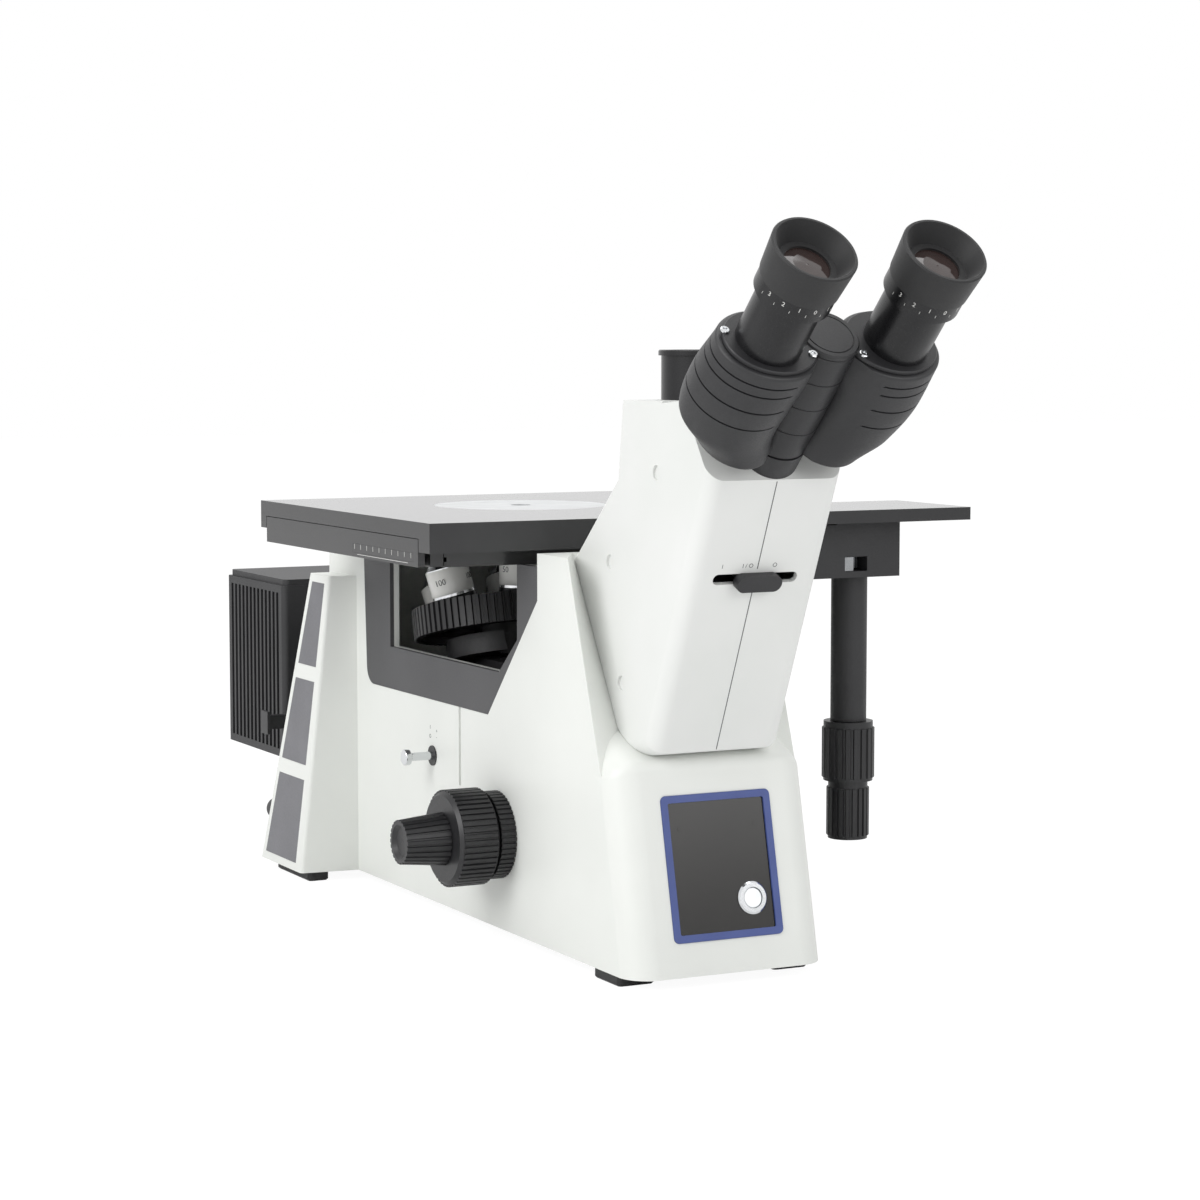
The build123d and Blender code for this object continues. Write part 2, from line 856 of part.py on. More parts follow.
def head_outline():
    """Side outline of the head shells."""
    low_front_y = head_chin_y + 12
    low_y = column_front_y(shoulder_at(-205))
    return [
        (head_top_front_y, head_top_front_z),
        (head_chin_y, head_chin_z, 2),
        (low_front_y, shoulder_at(low_front_y) + loose),
        (-208, shoulder_at(-208) + loose),
        (column_front_y(133) - loose, 133),
        (column_front_y(column_top_z - 4) - loose, column_top_z - 4),
        (head_nape_y, head_nape_z),
        (head_crest_y, head_crest_z),
        (head_top_rear_y, head_top_rear_z),
    ]


def head_shells():
    """Left and right half of the head cover, split down the middle."""
    outer = across(head_outline(), -head_half_width, 0)
    front_edges = outer.edges().filter_by(
        lambda e: abs(e.center().X + head_half_width) < 0.1 and e.center().Y < head_chin_y - 10
        and e.center().Z < head_top_front_z - 5)
    outer = fillet(front_edges, head_edge_radius)
    side_face = polygon([(p[0], p[1]) for p in head_outline()],
                        Plane(origin=(0, 0, 0), x_dir=(0, 1, 0), z_dir=(1, 0, 0)))
    inner = offset(side_face, amount=-head_wall, kind=Kind.INTERSECTION)
    hollow = extrude(inner, amount=head_half_width - head_wall, dir=(-1, 0, 0))
    edge = extrude(inner, amount=head_half_width - head_wall - head_edge_radius, dir=(-1, 0, 0))
    front_trim = across([
        (head_top_front_y - 30, head_top_front_z),
        (head_chin_y - 30, head_chin_z),
        (head_chin_y + head_edge_radius, head_chin_z),
        (head_top_front_y + head_edge_radius, head_top_front_z),
    ], -head_half_width, -head_half_width + head_wall + head_edge_radius * 0.7)
    shell = outer - (hollow - front_trim)
    shell -= selector_slot()
    for y, z in ((-248, 271), (-195, 221), (-208, 157)):
        plug = frame_along((-head_half_width, y, z), (-1, 0, 0), (0, 1, 0))
        shell -= rod(plug, plug_radius, -plug_depth, 1)
    mount_bore = rod(eye_plane(), hinge_pin_radius + 4, -pod_length - 2 * base_length, -pod_length)
    shell -= mount_bore
    return shell, mirror(shell, about=Plane.YZ)


def selector_slot():
    """Slot across both head shells for the light path selector."""
    plane = head_plane()
    middle = (selector_slot_left + selector_slot_right) / 2
    length = selector_slot_right - selector_slot_left
    slot = Pos(middle, selector_up) * SlotOverall(length, selector_slot_height)
    return extrude(plane * slot, amount=3 * head_wall, both=True)


def selector_slide():
    """Finger knob of the light path selector, with its stem and the prism slide inside."""
    plane = head_plane()
    middle = (selector_knob_left + selector_knob_right) / 2
    length = selector_knob_right - selector_knob_left
    outline = Pos(middle, selector_up - 1.0) * SlotOverall(length, selector_knob_height)
    knob = extrude(plane.offset(loose) * outline, amount=selector_knob_proud, dir=plane.z_dir)
    stem_outline = Pos(middle, selector_up) * SlotOverall(
        length - 6, selector_slot_height - 2 * sliding)
    stem = extrude(plane.offset(-head_wall * 4) * stem_outline, amount=head_wall * 4 + 1, dir=plane.z_dir)
    carriage = extrude(
        plane.offset(-head_wall * 4 - 24) * Pos(middle, selector_up) * Rectangle(34, 26), amount=24, dir=plane.z_dir)
    return knob + stem + carriage


def port_tower():
    """White block behind the head that carries the camera port."""
    tower = across([
        (head_nape_y, head_nape_z),
        (head_crest_y, head_crest_z),
        (head_crest_y, tower_top_z),
        (tower_rear_y, tower_top_z),
    ], -tower_half_width, tower_half_width)
    boss = rod(Plane((0, port_y, 0)), port_flange_radius + 1.5, head_nape_z + 8, tower_top_z)
    boss -= across([
        (head_nape_y + 30, head_nape_z - 27),
        (head_crest_y - 20, head_crest_z + 18),
        (head_crest_y - 20, head_nape_z - 40),
        (head_nape_y + 30, head_nape_z - 40),
    ], -60, 60)
    tower += boss
    return tower - rod(Plane((0, port_y, 0)), port_bore_radius, head_nape_z - 20, tower_top_z + 1)


def photo_port():
    """Black camera port with a flange and a stepped bore."""
    plane = Plane((0, port_y, tower_top_z))
    return turned(plane, [
        (port_bore_radius, port_height - port_bore_depth),
        (port_bore_radius - 3, port_height - port_bore_depth),
        (port_bore_radius - 3, 0),
        (port_radius, 0),
        (port_radius, port_height - port_flange_thickness),
        (port_flange_radius, port_height - port_flange_thickness),
        (port_flange_radius, port_height - 0.6),
        (port_flange_radius - 0.6, port_height),
        (port_bore_radius, port_height),
    ])


def binocular_base():
    """Round base on the head's upper face, with the hinge pin and its cap."""
    plane = eye_plane()
    base = rod(plane, base_radius, -pod_length - base_length, -pod_length - loose)
    behind = across([
        (head_top_front_y, head_top_front_z),
        (head_top_rear_y, head_top_rear_z),
        (head_top_rear_y + 60, head_top_rear_z),
        (head_top_rear_y + 60, head_top_front_z - 60),
        (head_top_front_y, head_top_front_z - 60),
    ], -60, 60)
    base -= behind
    spigot = rod(plane, hinge_pin_radius + 4 - running, -pod_length - base_length, -pod_length - loose - 1)
    pin = rod(plane, hinge_pin_radius, -pod_length - loose - 1, loose)
    cap = rod(plane, knuckle_radius, loose, loose + cap_thickness)
    cap = fillet(cap.edges().sort_by_distance(plane.origin + plane.z_dir * 30)[0:1], 1)
    return Compound(children=[*(base + spigot + pin).solids(), *cap.solids()])


def tube_centre(side):
    """Plane of one eyepiece tube, with z up the tube."""
    return Plane(eye_plane() * Pos(side * eye_half_spacing, -hinge_drop, 0))


def pod_blank():
    """Left prism housing before it is trimmed: it narrows towards the hinge."""
    plane = eye_plane()
    top = plane * Pos(-eye_half_spacing, -hinge_drop, 0) * Ellipse(pod_top_radius + 1, pod_top_radius)
    middle = plane * Pos(-eye_half_spacing + 3, -hinge_drop + 1, -pod_length * 0.45) * Ellipse(
        pod_top_radius - 0.5, pod_top_radius - 1)
    low = plane * Pos(-pod_low_offset, 0, -pod_length) * Ellipse(pod_low_radius, pod_low_radius + 3)
    return loft([low, middle, top])


def prism_housing(side):
    """Prism housing of one side: its knuckles ride on the hinge pin between the other's."""
    plane = eye_plane()
    pod = pod_blank()
    if side == right:
        pod = mirror(pod, about=Plane.YZ)
    outer_end = plane.origin + plane.x_dir * side * eye_half_spacing
    pod = fillet(pod.edges().sort_by_distance(outer_end)[0:1], pod_edge_radius)
    well = Plane(plane * Pos(side * eye_half_spacing, -hinge_drop, 0))
    pod += pod_plate(well)
    far = 120
    near_x = -loose if side == left else loose - far
    for turn in (side * ipd_close, -side * ipd_open):
        pod -= plane * Rot(0, 0, turn) * Pos(near_x, -far, -pod_length - 10) * Box(
            far, 2 * far, pod_length + 30, align=Align.MIN)
    pitch = pod_length / knuckle_count
    for index in range(knuckle_count):
        low = -pod_length + index * pitch
        own = (index % 2 == 0) == (side == left)
        if own:
            pod += rod(plane, knuckle_radius, low + loose / 2, low + pitch - loose / 2)
        else:
            pod -= rod(plane, knuckle_radius + loose, low - loose / 2, low + pitch + loose / 2)
    pod -= rod(plane, knuckle_radius + loose, 0, cap_thickness + 5)
    pod -= rod(plane, hinge_pin_radius + running, -pod_length - 1, 1)
    return pod - rod(well, tube_bore_radius, -pod_length * 0.6, 10)


def pod_plate(plane):
    """Oval cover plate on top of a prism housing."""
    outline = Ellipse(pod_top_radius - pod_plate_inset, pod_top_radius - pod_plate_inset - 1)
    return plane * extrude(outline, amount=pod_plate_thickness, dir=(0, 0, 1))


def eyepiece_tube(side):
    """Fixed barrel of one eyepiece, with a neck that the diopter ring turns on."""
    low = pod_plate_thickness
    neck = tube_radius - 1.5
    top = tube_top + diopter_height + diopter_gap
    return turned(tube_centre(side), [
        (tube_bore_radius, low),
        (tube_radius, low),
        (tube_radius, tube_top),
        (neck, tube_top),
        (neck, top),
        (tube_bore_radius, top),
    ])


def diopter_ring(side):
    """Diopter ring that turns on the barrel's neck."""
    bore = tube_radius - 1.5 + running
    low = tube_top + loose
    high = tube_top + diopter_height
    return turned(tube_centre(side), [
        (bore, low),
        (tube_radius + 1.5, low),
        (tube_radius + 1.5, low + diopter_gap),
        (diopter_radius, low + diopter_gap + 0.5),
        (diopter_radius, high),
        (bore, high),
    ])


def cup_floor():
    """Height of the diopter ring's top, where the eyecup stands."""
    return tube_top + diopter_height


def eyecup(side):
    """Soft eyecup: a deep bowl round the eye lens."""
    low = cup_floor()
    rim = low + diopter_gap + cup_height
    floor = rim - cup_depth
    return turned(tube_centre(side), [
        (lens_radius, floor - lens_thickness),
        (lens_radius, low + diopter_gap + loose),
        (tube_radius - 1.5 + loose, low + diopter_gap + loose),
        (tube_radius - 1.5 + loose, low),
        (cup_low_radius, low),
        (cup_rim_radius, rim - 0.8),
        (cup_rim_radius - 0.6, rim),
        (cup_rim_radius - cup_wall, rim),
        (lens_radius + 3, floor),
        (lens_radius, floor),
    ])


def eye_lens(side):
    """Front lens of an eyepiece, slightly domed."""
    rim = cup_floor() + diopter_gap + cup_height
    floor = rim - cup_depth
    return turned(tube_centre(side), [
        (0, floor - lens_thickness),
        (lens_radius, floor - lens_thickness),
        (lens_radius, floor - 1.2),
        (lens_radius * 0.6, floor - 0.4),
        (0, floor - 0.1),
    ])


def objective_plane(index):
    """Plane at an objective's shoulder, z along its own axis. Index 0 is the one in use."""
    apex_distance = objective_circle / math.sin(math.radians(turret_tilt))
    spin = index * 360 / objective_count
    turret = turret_plane()
    apex = turret.origin - turret.z_dir * (apex_distance * math.cos(math.radians(turret_tilt)))
    axis = Vector(0, 0, 1).rotate(Axis((0, 0, 0), tuple(turret.z_dir)), spin)
    origin = apex + axis * apex_distance
    side = Vector(1, 0, 0).rotate(Axis((0, 0, 0), tuple(turret.z_dir)), spin)
    return Plane(origin=origin, x_dir=side, z_dir=axis)


def turret():
    """Revolving disc with one threaded boss for each objective."""
    plane = turret_plane()
    disc = rod(plane, ring_bore_radius, -ring_height * 0.75, -ring_height * 0.75 + turret_thickness)
    for index in range(objective_count):
        disc += rod(objective_plane(index), boss_radius, -ring_height * 0.7, 0)
    trim = tube(plane, 200, ring_bore_radius, -60, 60)
    disc -= trim
    disc -= rod(plane, 200, -100, -ring_height * 0.75)
    for index in range(objective_count):
        disc -= rod(objective_plane(index), objective_thread_radius, -60, 60)
    disc -= rod(plane, turret_pin_radius + running, -60, 60)
    return disc


def turret_ring():
    """Ribbed grip ring round the turret."""
    plane = turret_plane()
    ring = ribbed(plane, ring_radius, ring_rib_depth, ring_ribs, -ring_height, 0)
    return ring - rod(plane, ring_bore_radius, -ring_height - 1, 1)


def objective(index):
    """One objective, screwed into its boss; the stages of magnification differ in length."""
    shorter = (0, 2, 5, 9, 3)[index % 5]
    length = objective_length - shorter
    return turned(objective_plane(index), [
        (objective_thread_radius - 2.5, -objective_thread_length),
        (objective_thread_radius, -objective_thread_length),
        (objective_thread_radius, 0),
        (objective_radius, 0),
        (objective_radius, length * 0.72),
        (objective_radius - 1.5, length * 0.78),
        (objective_tip_radius + 1, length * 0.94),
        (objective_tip_radius, length),
        (0, length),
        (0, length * 0.6),
        (objective_thread_radius - 2.5, length * 0.6),
    ])


def objectives():
    """All objectives, one solid each."""
    return Compound(children=[s for index in range(objective_count) for s in objective(index).solids()])


def nosepiece_carrier():
    """Carrier that holds the turret on a pin and slides up and down on the guide."""
    plane = turret_plane()
    top = -ring_height - carrier_gap
    body = rod(plane, carrier_radius, top - carrier_thickness, top)
    body += rod(plane, turret_pin_radius + 4, top - 1, -ring_height * 0.75 - loose)
    body += rod(plane, turret_pin_radius, top - 1, -1)
    stem_front = rack_face_y + dedendum * focus_module + rack_body
    stem_rear = stem_front + stem_depth
    arm_high_z = arm_low_z + 20
    body += block(-stem_half_width * 1.6, stem_half_width * 1.6, stem_front, turret_y - 8, arm_low_z, arm_high_z)
    body -= rod(plane, 200, top, top + 100) - rod(plane, turret_pin_radius + 4, top - 1, 0)
    body += block(-stem_half_width, stem_half_width, stem_front, stem_rear, focus_rack_low, arm_high_z)
    tail = upright([
        (-dovetail_half_width, stem_rear - 1),
        (dovetail_half_width, stem_rear - 1),
        (dovetail_half_width + 3, stem_rear + dovetail_depth),
        (-dovetail_half_width - 3, stem_rear + dovetail_depth),
    ], focus_rack_low, arm_low_z - 4)
    body += tail
    teeth = rack_face(focus_module, focus_rack_low, focus_rack_high, rack_body, focus_z)
    rack_plane = Plane(origin=(-focus_pinion_width / 2 - 1, rack_face_y, 0), x_dir=(0, 1, 0), z_dir=(1, 0, 0))
    body += extrude(rack_plane * teeth, amount=focus_pinion_width + 2, dir=(1, 0, 0))
    body -= rod(Plane.XY, light_radius, 100, 400)
    return body


def focus_guide():
    """Upright guide with a dovetail way, bolted to the bottom plate, with a tunnel for the light."""
    stem_rear = rack_face_y + dedendum * focus_module + rack_body + stem_depth
    front = stem_rear + sliding
    low = foot_height + plate_thickness
    high = arm_low_z - lift_down - 3
    guide = block(-guide_half_width, guide_half_width, front, guide_rear_y, low, high)
    way = upright([
        (-dovetail_half_width - sliding, front - 1),
        (dovetail_half_width + sliding, front - 1),
        (dovetail_half_width + 3 + sliding, stem_rear + dovetail_depth + sliding),
        (-dovetail_half_width - 3 - sliding, stem_rear + dovetail_depth + sliding),
    ], focus_rack_low - lift_down - 2, high + 1)
    guide -= way
    tunnel = frame_along((0, guide_rear_y, beam_z), (0, 1, 0))
    return guide - rod(tunnel, light_radius, -60, 10)


def focus_plane(side):
    """Plane at the body's side wall on the focus axis, z outwards."""
    return frame_along((side * body_half_width, focus_y, focus_z), (side, 0, 0), (0, 1, 0))


def shaft_bushes():
    """Bushes in the side walls for the focus shafts and the push-pull rod; the right one has a collar."""
    solids = rod_bush().solids()
    for side in (left, right):
        plane = focus_plane(side)
        bush = tube(plane, bush_radius, coarse_shaft_radius + running, -casting_wall, loose + collar_width)
        if side == right:
            bush += tube(plane, collar_radius, bush_radius - 1, 0, collar_width)
        solids += bush.solids()
    return Compound(children=solids)


def tension_collar():
    """Collar on the left that sets how stiff the coarse drive is."""
    plane = focus_plane(left)
    collar = ribbed(plane, collar_radius, 0.8, knob_ribs * 2, loose, loose + collar_width - 1)
    return collar - rod(plane, bush_radius + running, -1, collar_width + 2)


def coarse_shaft():
    """Hollow coarse shaft with the pinion in its middle."""
    half = body_half_width + collar_width + 2 * loose + coarse_width
    shaft = tube(frame_along((0, focus_y, focus_z), (1, 0, 0), (0, 1, 0)), coarse_shaft_radius,
                 fine_shaft_radius + running, -half, half)
    plane = Plane(origin=(-focus_pinion_width / 2, focus_y, focus_z), x_dir=(0, 1, 0), z_dir=(1, 0, 0))
    teeth = extrude(plane * pinion_face(focus_module, focus_teeth), amount=focus_pinion_width, dir=(1, 0, 0))
    shaft += teeth - rod(plane, coarse_shaft_radius - 0.5, -1, focus_pinion_width + 1)
    return shaft


def coarse_knobs():
    """Ribbed coarse knobs, one on each end of the coarse shaft."""
    low = collar_width + 2 * loose
    plane = focus_plane(left)
    knob = ribbed(plane, coarse_radius, 1.0, knob_ribs * 2, low + 2, low + coarse_width - 2)
    knob += turned(plane, [
        (0, low), (coarse_radius - 3, low), (coarse_radius - 1.2, low + 2),
        (coarse_radius - 1.2, low + coarse_width - 2), (coarse_radius - 3, low + coarse_width),
        (0, low + coarse_width)])
    knob -= rod(plane, coarse_shaft_radius, 0, low + coarse_width + 1)
    return both_sides(knob)


def fine_focus():
    """Fine knobs on both ends of the fine shaft, which turns inside the coarse one."""
    low = collar_width + coarse_width + 3 * loose
    plane = focus_plane(left)
    knob = plane * loft([
        Pos(0, 0, low) * ribbed_face(fine_radius, 0.8, knob_ribs),
        Pos(0, 0, low + fine_width) * ribbed_face(fine_tip_radius, 0.8, knob_ribs),
    ], ruled=True)
    dish = turned(plane, [(0, low + fine_width + 6), (fine_tip_radius - 2.5, low + fine_width + 6),
                          (fine_tip_radius - 2.5, low + fine_width), (fine_tip_radius - 5, low + fine_width - 2),
                          (0, low + fine_width - 2.5)])
    knob -= dish
    axle = rod(frame_along((0, focus_y, focus_z), (1, 0, 0), (0, 1, 0)), fine_shaft_radius,
               -body_half_width - low - 8, body_half_width + low + 8)
    knob -= rod(plane, fine_shaft_radius, 0, low + 8)
    return Compound(children=[*knob.solids(), *mirror(knob, about=Plane.YZ).solids(), *axle.solids()])


def stage_base():
    """Fixed lower plate with its two guide rails and the opening for the objectives."""
    plate = block(-base_half_width, base_half_width, base_front_y, base_rear_y, deck_z, base_top_z)
    groove = block(-base_half_width - 1, -base_half_width + 1.5, base_front_y - 1, base_rear_y + 1,
                   deck_z + 3, base_top_z - 3)
    plate -= groove
    plate -= mirror(groove, about=Plane.YZ)
    return plate - rod(Plane.XY, base_opening_radius, deck_z - 1, base_top_z + 1)


def stage_carriage():
    """Middle plate that slides front to back, with its rails, end caps and the drive block's bracket."""
    cap_inner = stage_half_width - end_cap_thickness
    plate = block(-cap_inner, cap_inner, base_front_y + loose, base_rear_y - loose, carriage_low_z, carriage_top_z)
    rail_inner = base_half_width + sliding * 2
    rail = block(-rail_inner - rail_width, -rail_inner, base_front_y + loose, base_rear_y - loose,
                 deck_z + 0.4, carriage_low_z)
    cap = block(-stage_half_width, -cap_inner, base_front_y + loose, base_rear_y - loose,
                deck_z + 0.4, carriage_top_z)
    body = plate + rail + cap + mirror(rail, about=Plane.YZ) + mirror(cap, about=Plane.YZ)
    body -= rod(Plane.XY, carriage_opening_radius, carriage_low_z - 1, carriage_top_z + 1)
    body -= block(-stage_half_width - 1, -stage_half_width + scale_thickness, scale_front_y - seat_play,
                  scale_rear_y + seat_play, scale_low_z - seat_play, scale_low_z + scale_height + seat_play)
    notch_left = drive_x - stage_side * 2 - 2 * drive_pitch_radius - loose
    body -= block(notch_left, stage_half_width + 1, x_rack_face_y - 2, x_rack_face_y + rack_body + 3,
                  deck_z, carriage_top_z + 1)
    return body


def travel_scale():
    """Thin scale strip let into the left end cap."""
    low = -stage_half_width
    return block(low, low + scale_thickness, scale_front_y, scale_rear_y, scale_low_z, scale_low_z + scale_height)


def drive_block():
    """Housing at the right for the coaxial stage drive."""
    housing = block(carriage_right_x, block_right_x, block_front_y, block_rear_y, block_low_z, carriage_top_z)
    top = wing_low_z() - loose
    housing += block(carriage_right_x + stage_side + 2 * loose, block_right_x, block_front_y, block_rear_y,
                     carriage_top_z - 1, top)
    tip = drive_pitch_radius + addendum * drive_module + loose
    lower = rod(Plane((drive_x, drive_y, 0)), tip, y_rack_z - 1, y_rack_z + rack_height + 1)
    rack_left = y_rack_face_x - dedendum * drive_module - rack_body - loose
    lower += block(rack_left, drive_x, block_front_y - 1, block_rear_y + 1,
                   y_rack_z - loose, y_rack_z + rack_height + loose)
    upper = rod(Plane((drive_x, drive_y, 0)), tip, x_rack_z - 1, top + 1)
    upper += block(carriage_right_x - 1, block_right_x + 1, drive_y, x_rack_face_y + dedendum + rack_body + loose,
                   x_rack_z - loose, top + 1)
    housing -= lower
    housing -= upper
    housing -= rod(Plane((drive_x, drive_y, 0)), sleeve_radius, block_low_z - 1, y_rack_z - 1)
    return housing - rod(Plane((drive_x, drive_y, 0)), x_shaft_radius + running, block_low_z, top + 1)


def drive_sleeve():
    """Fixed sleeve that hangs from the drive block."""
    return tube(Plane((drive_x, drive_y, 0)), sleeve_radius, y_shaft_radius + running, sleeve_low_z, y_rack_z - 1)


def drive_pinion(z, turn):
    """One pinion of the stage drive, from a height up."""
    plane = Plane((drive_x, drive_y, z))
    return extrude(plane * pinion_face(drive_module, drive_teeth, turn), amount=rack_height - 1, dir=(0, 0, 1))


def y_shaft():
    """Hollow shaft of the upper knob, with the pinion that meets the fixed rack."""
    plane = Plane((drive_x, drive_y, 0))
    top = y_rack_z + rack_height - 0.5
    shaft = rod(plane, y_shaft_radius, y_knob_low_z + 3, top)
    shaft += drive_pinion(y_rack_z + 0.5, math.pi)
    return shaft - rod(plane, x_shaft_radius + running, 0, 300)


def x_shaft():
    """Solid inner shaft of the lower knob, with the pinion that meets the moving rack."""
    plane = Plane((drive_x, drive_y, 0))
    shaft = rod(plane, x_shaft_radius, x_knob_low_z + 3, x_rack_z + rack_height - 1.5)
    return shaft + drive_pinion(x_rack_z - 0.3, math.pi / 2)


def stage_knob(radius, low, high, bore):
    """Ribbed knob on one shaft of the stage drive."""
    plane = Plane((drive_x, drive_y, 0))
    knob = ribbed(plane, radius, 0.9, stage_knob_ribs, low + 2, high - 4)
    knob += rod(plane, radius - 1, low, high)
    return knob - rod(plane, bore, low + 3, high + 1)


def y_knob():
    """Upper knob, pierced for the inner shaft."""
    knob = stage_knob(y_knob_radius, y_knob_low_z, sleeve_low_z - loose, y_shaft_radius)
    return knob - rod(Plane((drive_x, drive_y, 0)), x_shaft_radius + running, 0, sleeve_low_z)


def y_rack():
    """Rack fixed to the lower plate, with the arm that carries it."""
    teeth = rack_face(drive_module, y_rack_front(), y_rack_rear_y, rack_body, drive_y)
    plane = Plane(origin=(y_rack_face_x, 0, y_rack_z), x_dir=(-1, 0, 0), z_dir=(0, 0, -1))
    bar = extrude(plane * teeth, amount=rack_height, dir=(0, 0, 1))
    left_x = base_half_width - 20
    arm_front = y_rack_rear_y - y_rack_arm_depth
    arm = block(left_x, y_rack_face_x - dedendum * drive_module - 1, arm_front, y_rack_rear_y,
                y_rack_z, y_rack_z + rack_height)
    riser = block(left_x, base_half_width - 2, arm_front, y_rack_rear_y, y_rack_z, deck_z)
    return bar + arm + riser


def y_rack_front():
    """Front end of the fixed rack, just inside the drive block's face."""
    return block_front_y + 1.0


def x_rack():
    """Rack under the right wing of the top plate."""
    half = stage_side + 1.4 * drive_pitch_radius
    low = -(drive_x + half)
    teeth = rack_face(drive_module, drive_x - half, drive_x + half, rack_body, drive_x)
    plane = Plane(origin=(0, x_rack_face_y, x_rack_z), x_dir=(0, 1, 0), z_dir=(0, 0, -1))
    face = plane * teeth
    return extrude(face, amount=wing_low_z() - x_rack_z, dir=(0, 0, 1))


def wing_low_z():
    """Underside of the top plate's right wing."""
    return stage_top_z - wing_plate_thickness


def stage_top():
    """Top plate with front and rear skirts and the wing at its right."""
    plate = block(-stage_half_width, stage_half_width, stage_front_y, stage_rear_y, top_plate_low_z, stage_top_z)
    plate += block(stage_half_width - 5, wing_plate_x, stage_front_y, wing_plate_rear_y, wing_low_z(), stage_top_z)
    front = block(-stage_half_width, stage_half_width, stage_front_y, stage_front_y + skirt_depth,
                  skirt_low_z, top_plate_low_z + 1)
    rear = block(-stage_half_width, stage_half_width, base_rear_y + loose, stage_rear_y,
                 skirt_low_z, top_plate_low_z + 1)
    plate = plate + front + rear
    plate -= rod(Plane.XY, insert_radius + seat_play, stage_top_z - insert_thickness, stage_top_z + 1)
    return plate - rod(Plane.XY, insert_radius - insert_ledge, 0, stage_top_z + 1)


def stage_insert():
    """Round metal insert with its centre hole."""
    return tube(Plane.XY, insert_radius, insert_hole_radius, stage_top_z - insert_thickness, stage_top_z)


def cube_slide():
    """Push-pull rod on the left side, with the reflector cube that it carries."""
    plane = frame_along((-body_half_width, cube_y, cube_z), (-1, 0, 0), (0, 1, 0))
    pull = rod(plane, rod_radius, -body_half_width + cube_half, rod_reach + 0.5)
    knob = rod(plane, rod_knob_radius, rod_reach, rod_reach + rod_knob_length)
    knob = fillet(knob.edges().filter_by(GeomType.CIRCLE), 0.8)
    cube = block(-cube_half, cube_half, cube_y - cube_half, cube_y + cube_half,
                 cube_z - cube_half, cube_z + cube_half)
    cube -= rod(Plane.XY, light_radius, 0, 300)
    cube -= rod(frame_along((0, cube_y, cube_z), (0, 1, 0)), light_radius, 0, 100)
    return pull + knob + cube


def rod_bush():
    """Bush of the push-pull rod in the left wall."""
    plane = frame_along((-body_half_width, cube_y, cube_z), (-1, 0, 0), (0, 1, 0))
    bush = rod(plane, rod_bush_radius - 2, -casting_wall, rod_bush_proud) + rod(plane, rod_bush_radius, 0, rod_bush_proud)
    return bush - rod(plane, rod_radius + running, -casting_wall - 1, rod_bush_proud + 1)


def relay_optics():
    """Lens cell and two slanted mirrors that lead the light along the bottom plate."""
    low = foot_height + plate_thickness
    cell_y = 28
    cell = block(-light_radius - 4, light_radius + 4, -cell_y - 8, -cell_y, low, beam_z + light_radius + 4)
    cell -= rod(frame_along((0, 0, beam_z), (0, 1, 0)), light_radius, -100, 100)
    glass = rod(frame_along((0, -cell_y, beam_z), (0, 1, 0)), light_radius, -6, -2)
    mirrors = []
    for y, lean in ((0, 1), (-200, -1)):
        span = light_radius + 3
        wedge = across([
            (y - lean * span, low), (y + lean * span, low), (y + lean * span, beam_z + span)
        ], -span, span)
        mirrors += wedge.solids()
    return Compound(children=[*cell.solids(), *glass.solids(), *mirrors])


def power_supply():
    """Closed power supply unit on the bottom plate."""
    low = foot_height + plate_thickness
    unit = block(-38, 38, 50, 130, low, low + 40)
    return fillet(unit.edges().filter_by(Axis.Z), 3)


def illuminator_neck():
    """Housing between the rear wall and the lamp house, with a slot for the filter slide."""
    low, high = neck_low_z, neck_top_z
    neck = block(-neck_half_width, neck_half_width, rear_wall_y, lamphouse_front_y, low, high)
    neck = fillet(neck.edges().filter_by(Axis.Y), 6)
    axis = frame_along((0, rear_wall_y, lamp_axis_z), (0, 1, 0))
    neck -= rod(axis, neck_bore_radius, -1, 200)
    half = filter_thickness / 2 + sliding
    return neck - block(-100, neck_half_width - 1.5, filter_y - half, filter_y + half, filter_low_z() - sliding,
                        filter_low_z() + filter_height() + 2 * sliding)


def filter_low_z():
    """Underside of the filter slide."""
    return filter_handle_z - filter_handle_height / 2


def filter_height():
    """Height of the filter frame, which takes in the light's whole bore."""
    return 2 * (lamp_axis_z - filter_low_z())


def filter_slide():
    """Filter slide with its handle at the left and a flange at the handle's end."""
    half = filter_thickness / 2
    low = filter_low_z()
    frame = block(-neck_half_width + 2, neck_half_width - 2, filter_y - half, filter_y + half,
                  low, low + filter_height())
    handle = block(-filter_reach_x, -neck_half_width + 3, filter_y - half, filter_y + half,
                   low, low + filter_handle_height)
    flange = block(-filter_reach_x, -filter_reach_x + 2, filter_y - half - 3, filter_y + half + 3,
                   low - 3, low + filter_handle_height + 3)
    opening = rod(frame_along((0, filter_y, lamp_axis_z), (0, 1, 0)), collector_radius - 4, -20, 20)
    return frame + handle + flange - opening


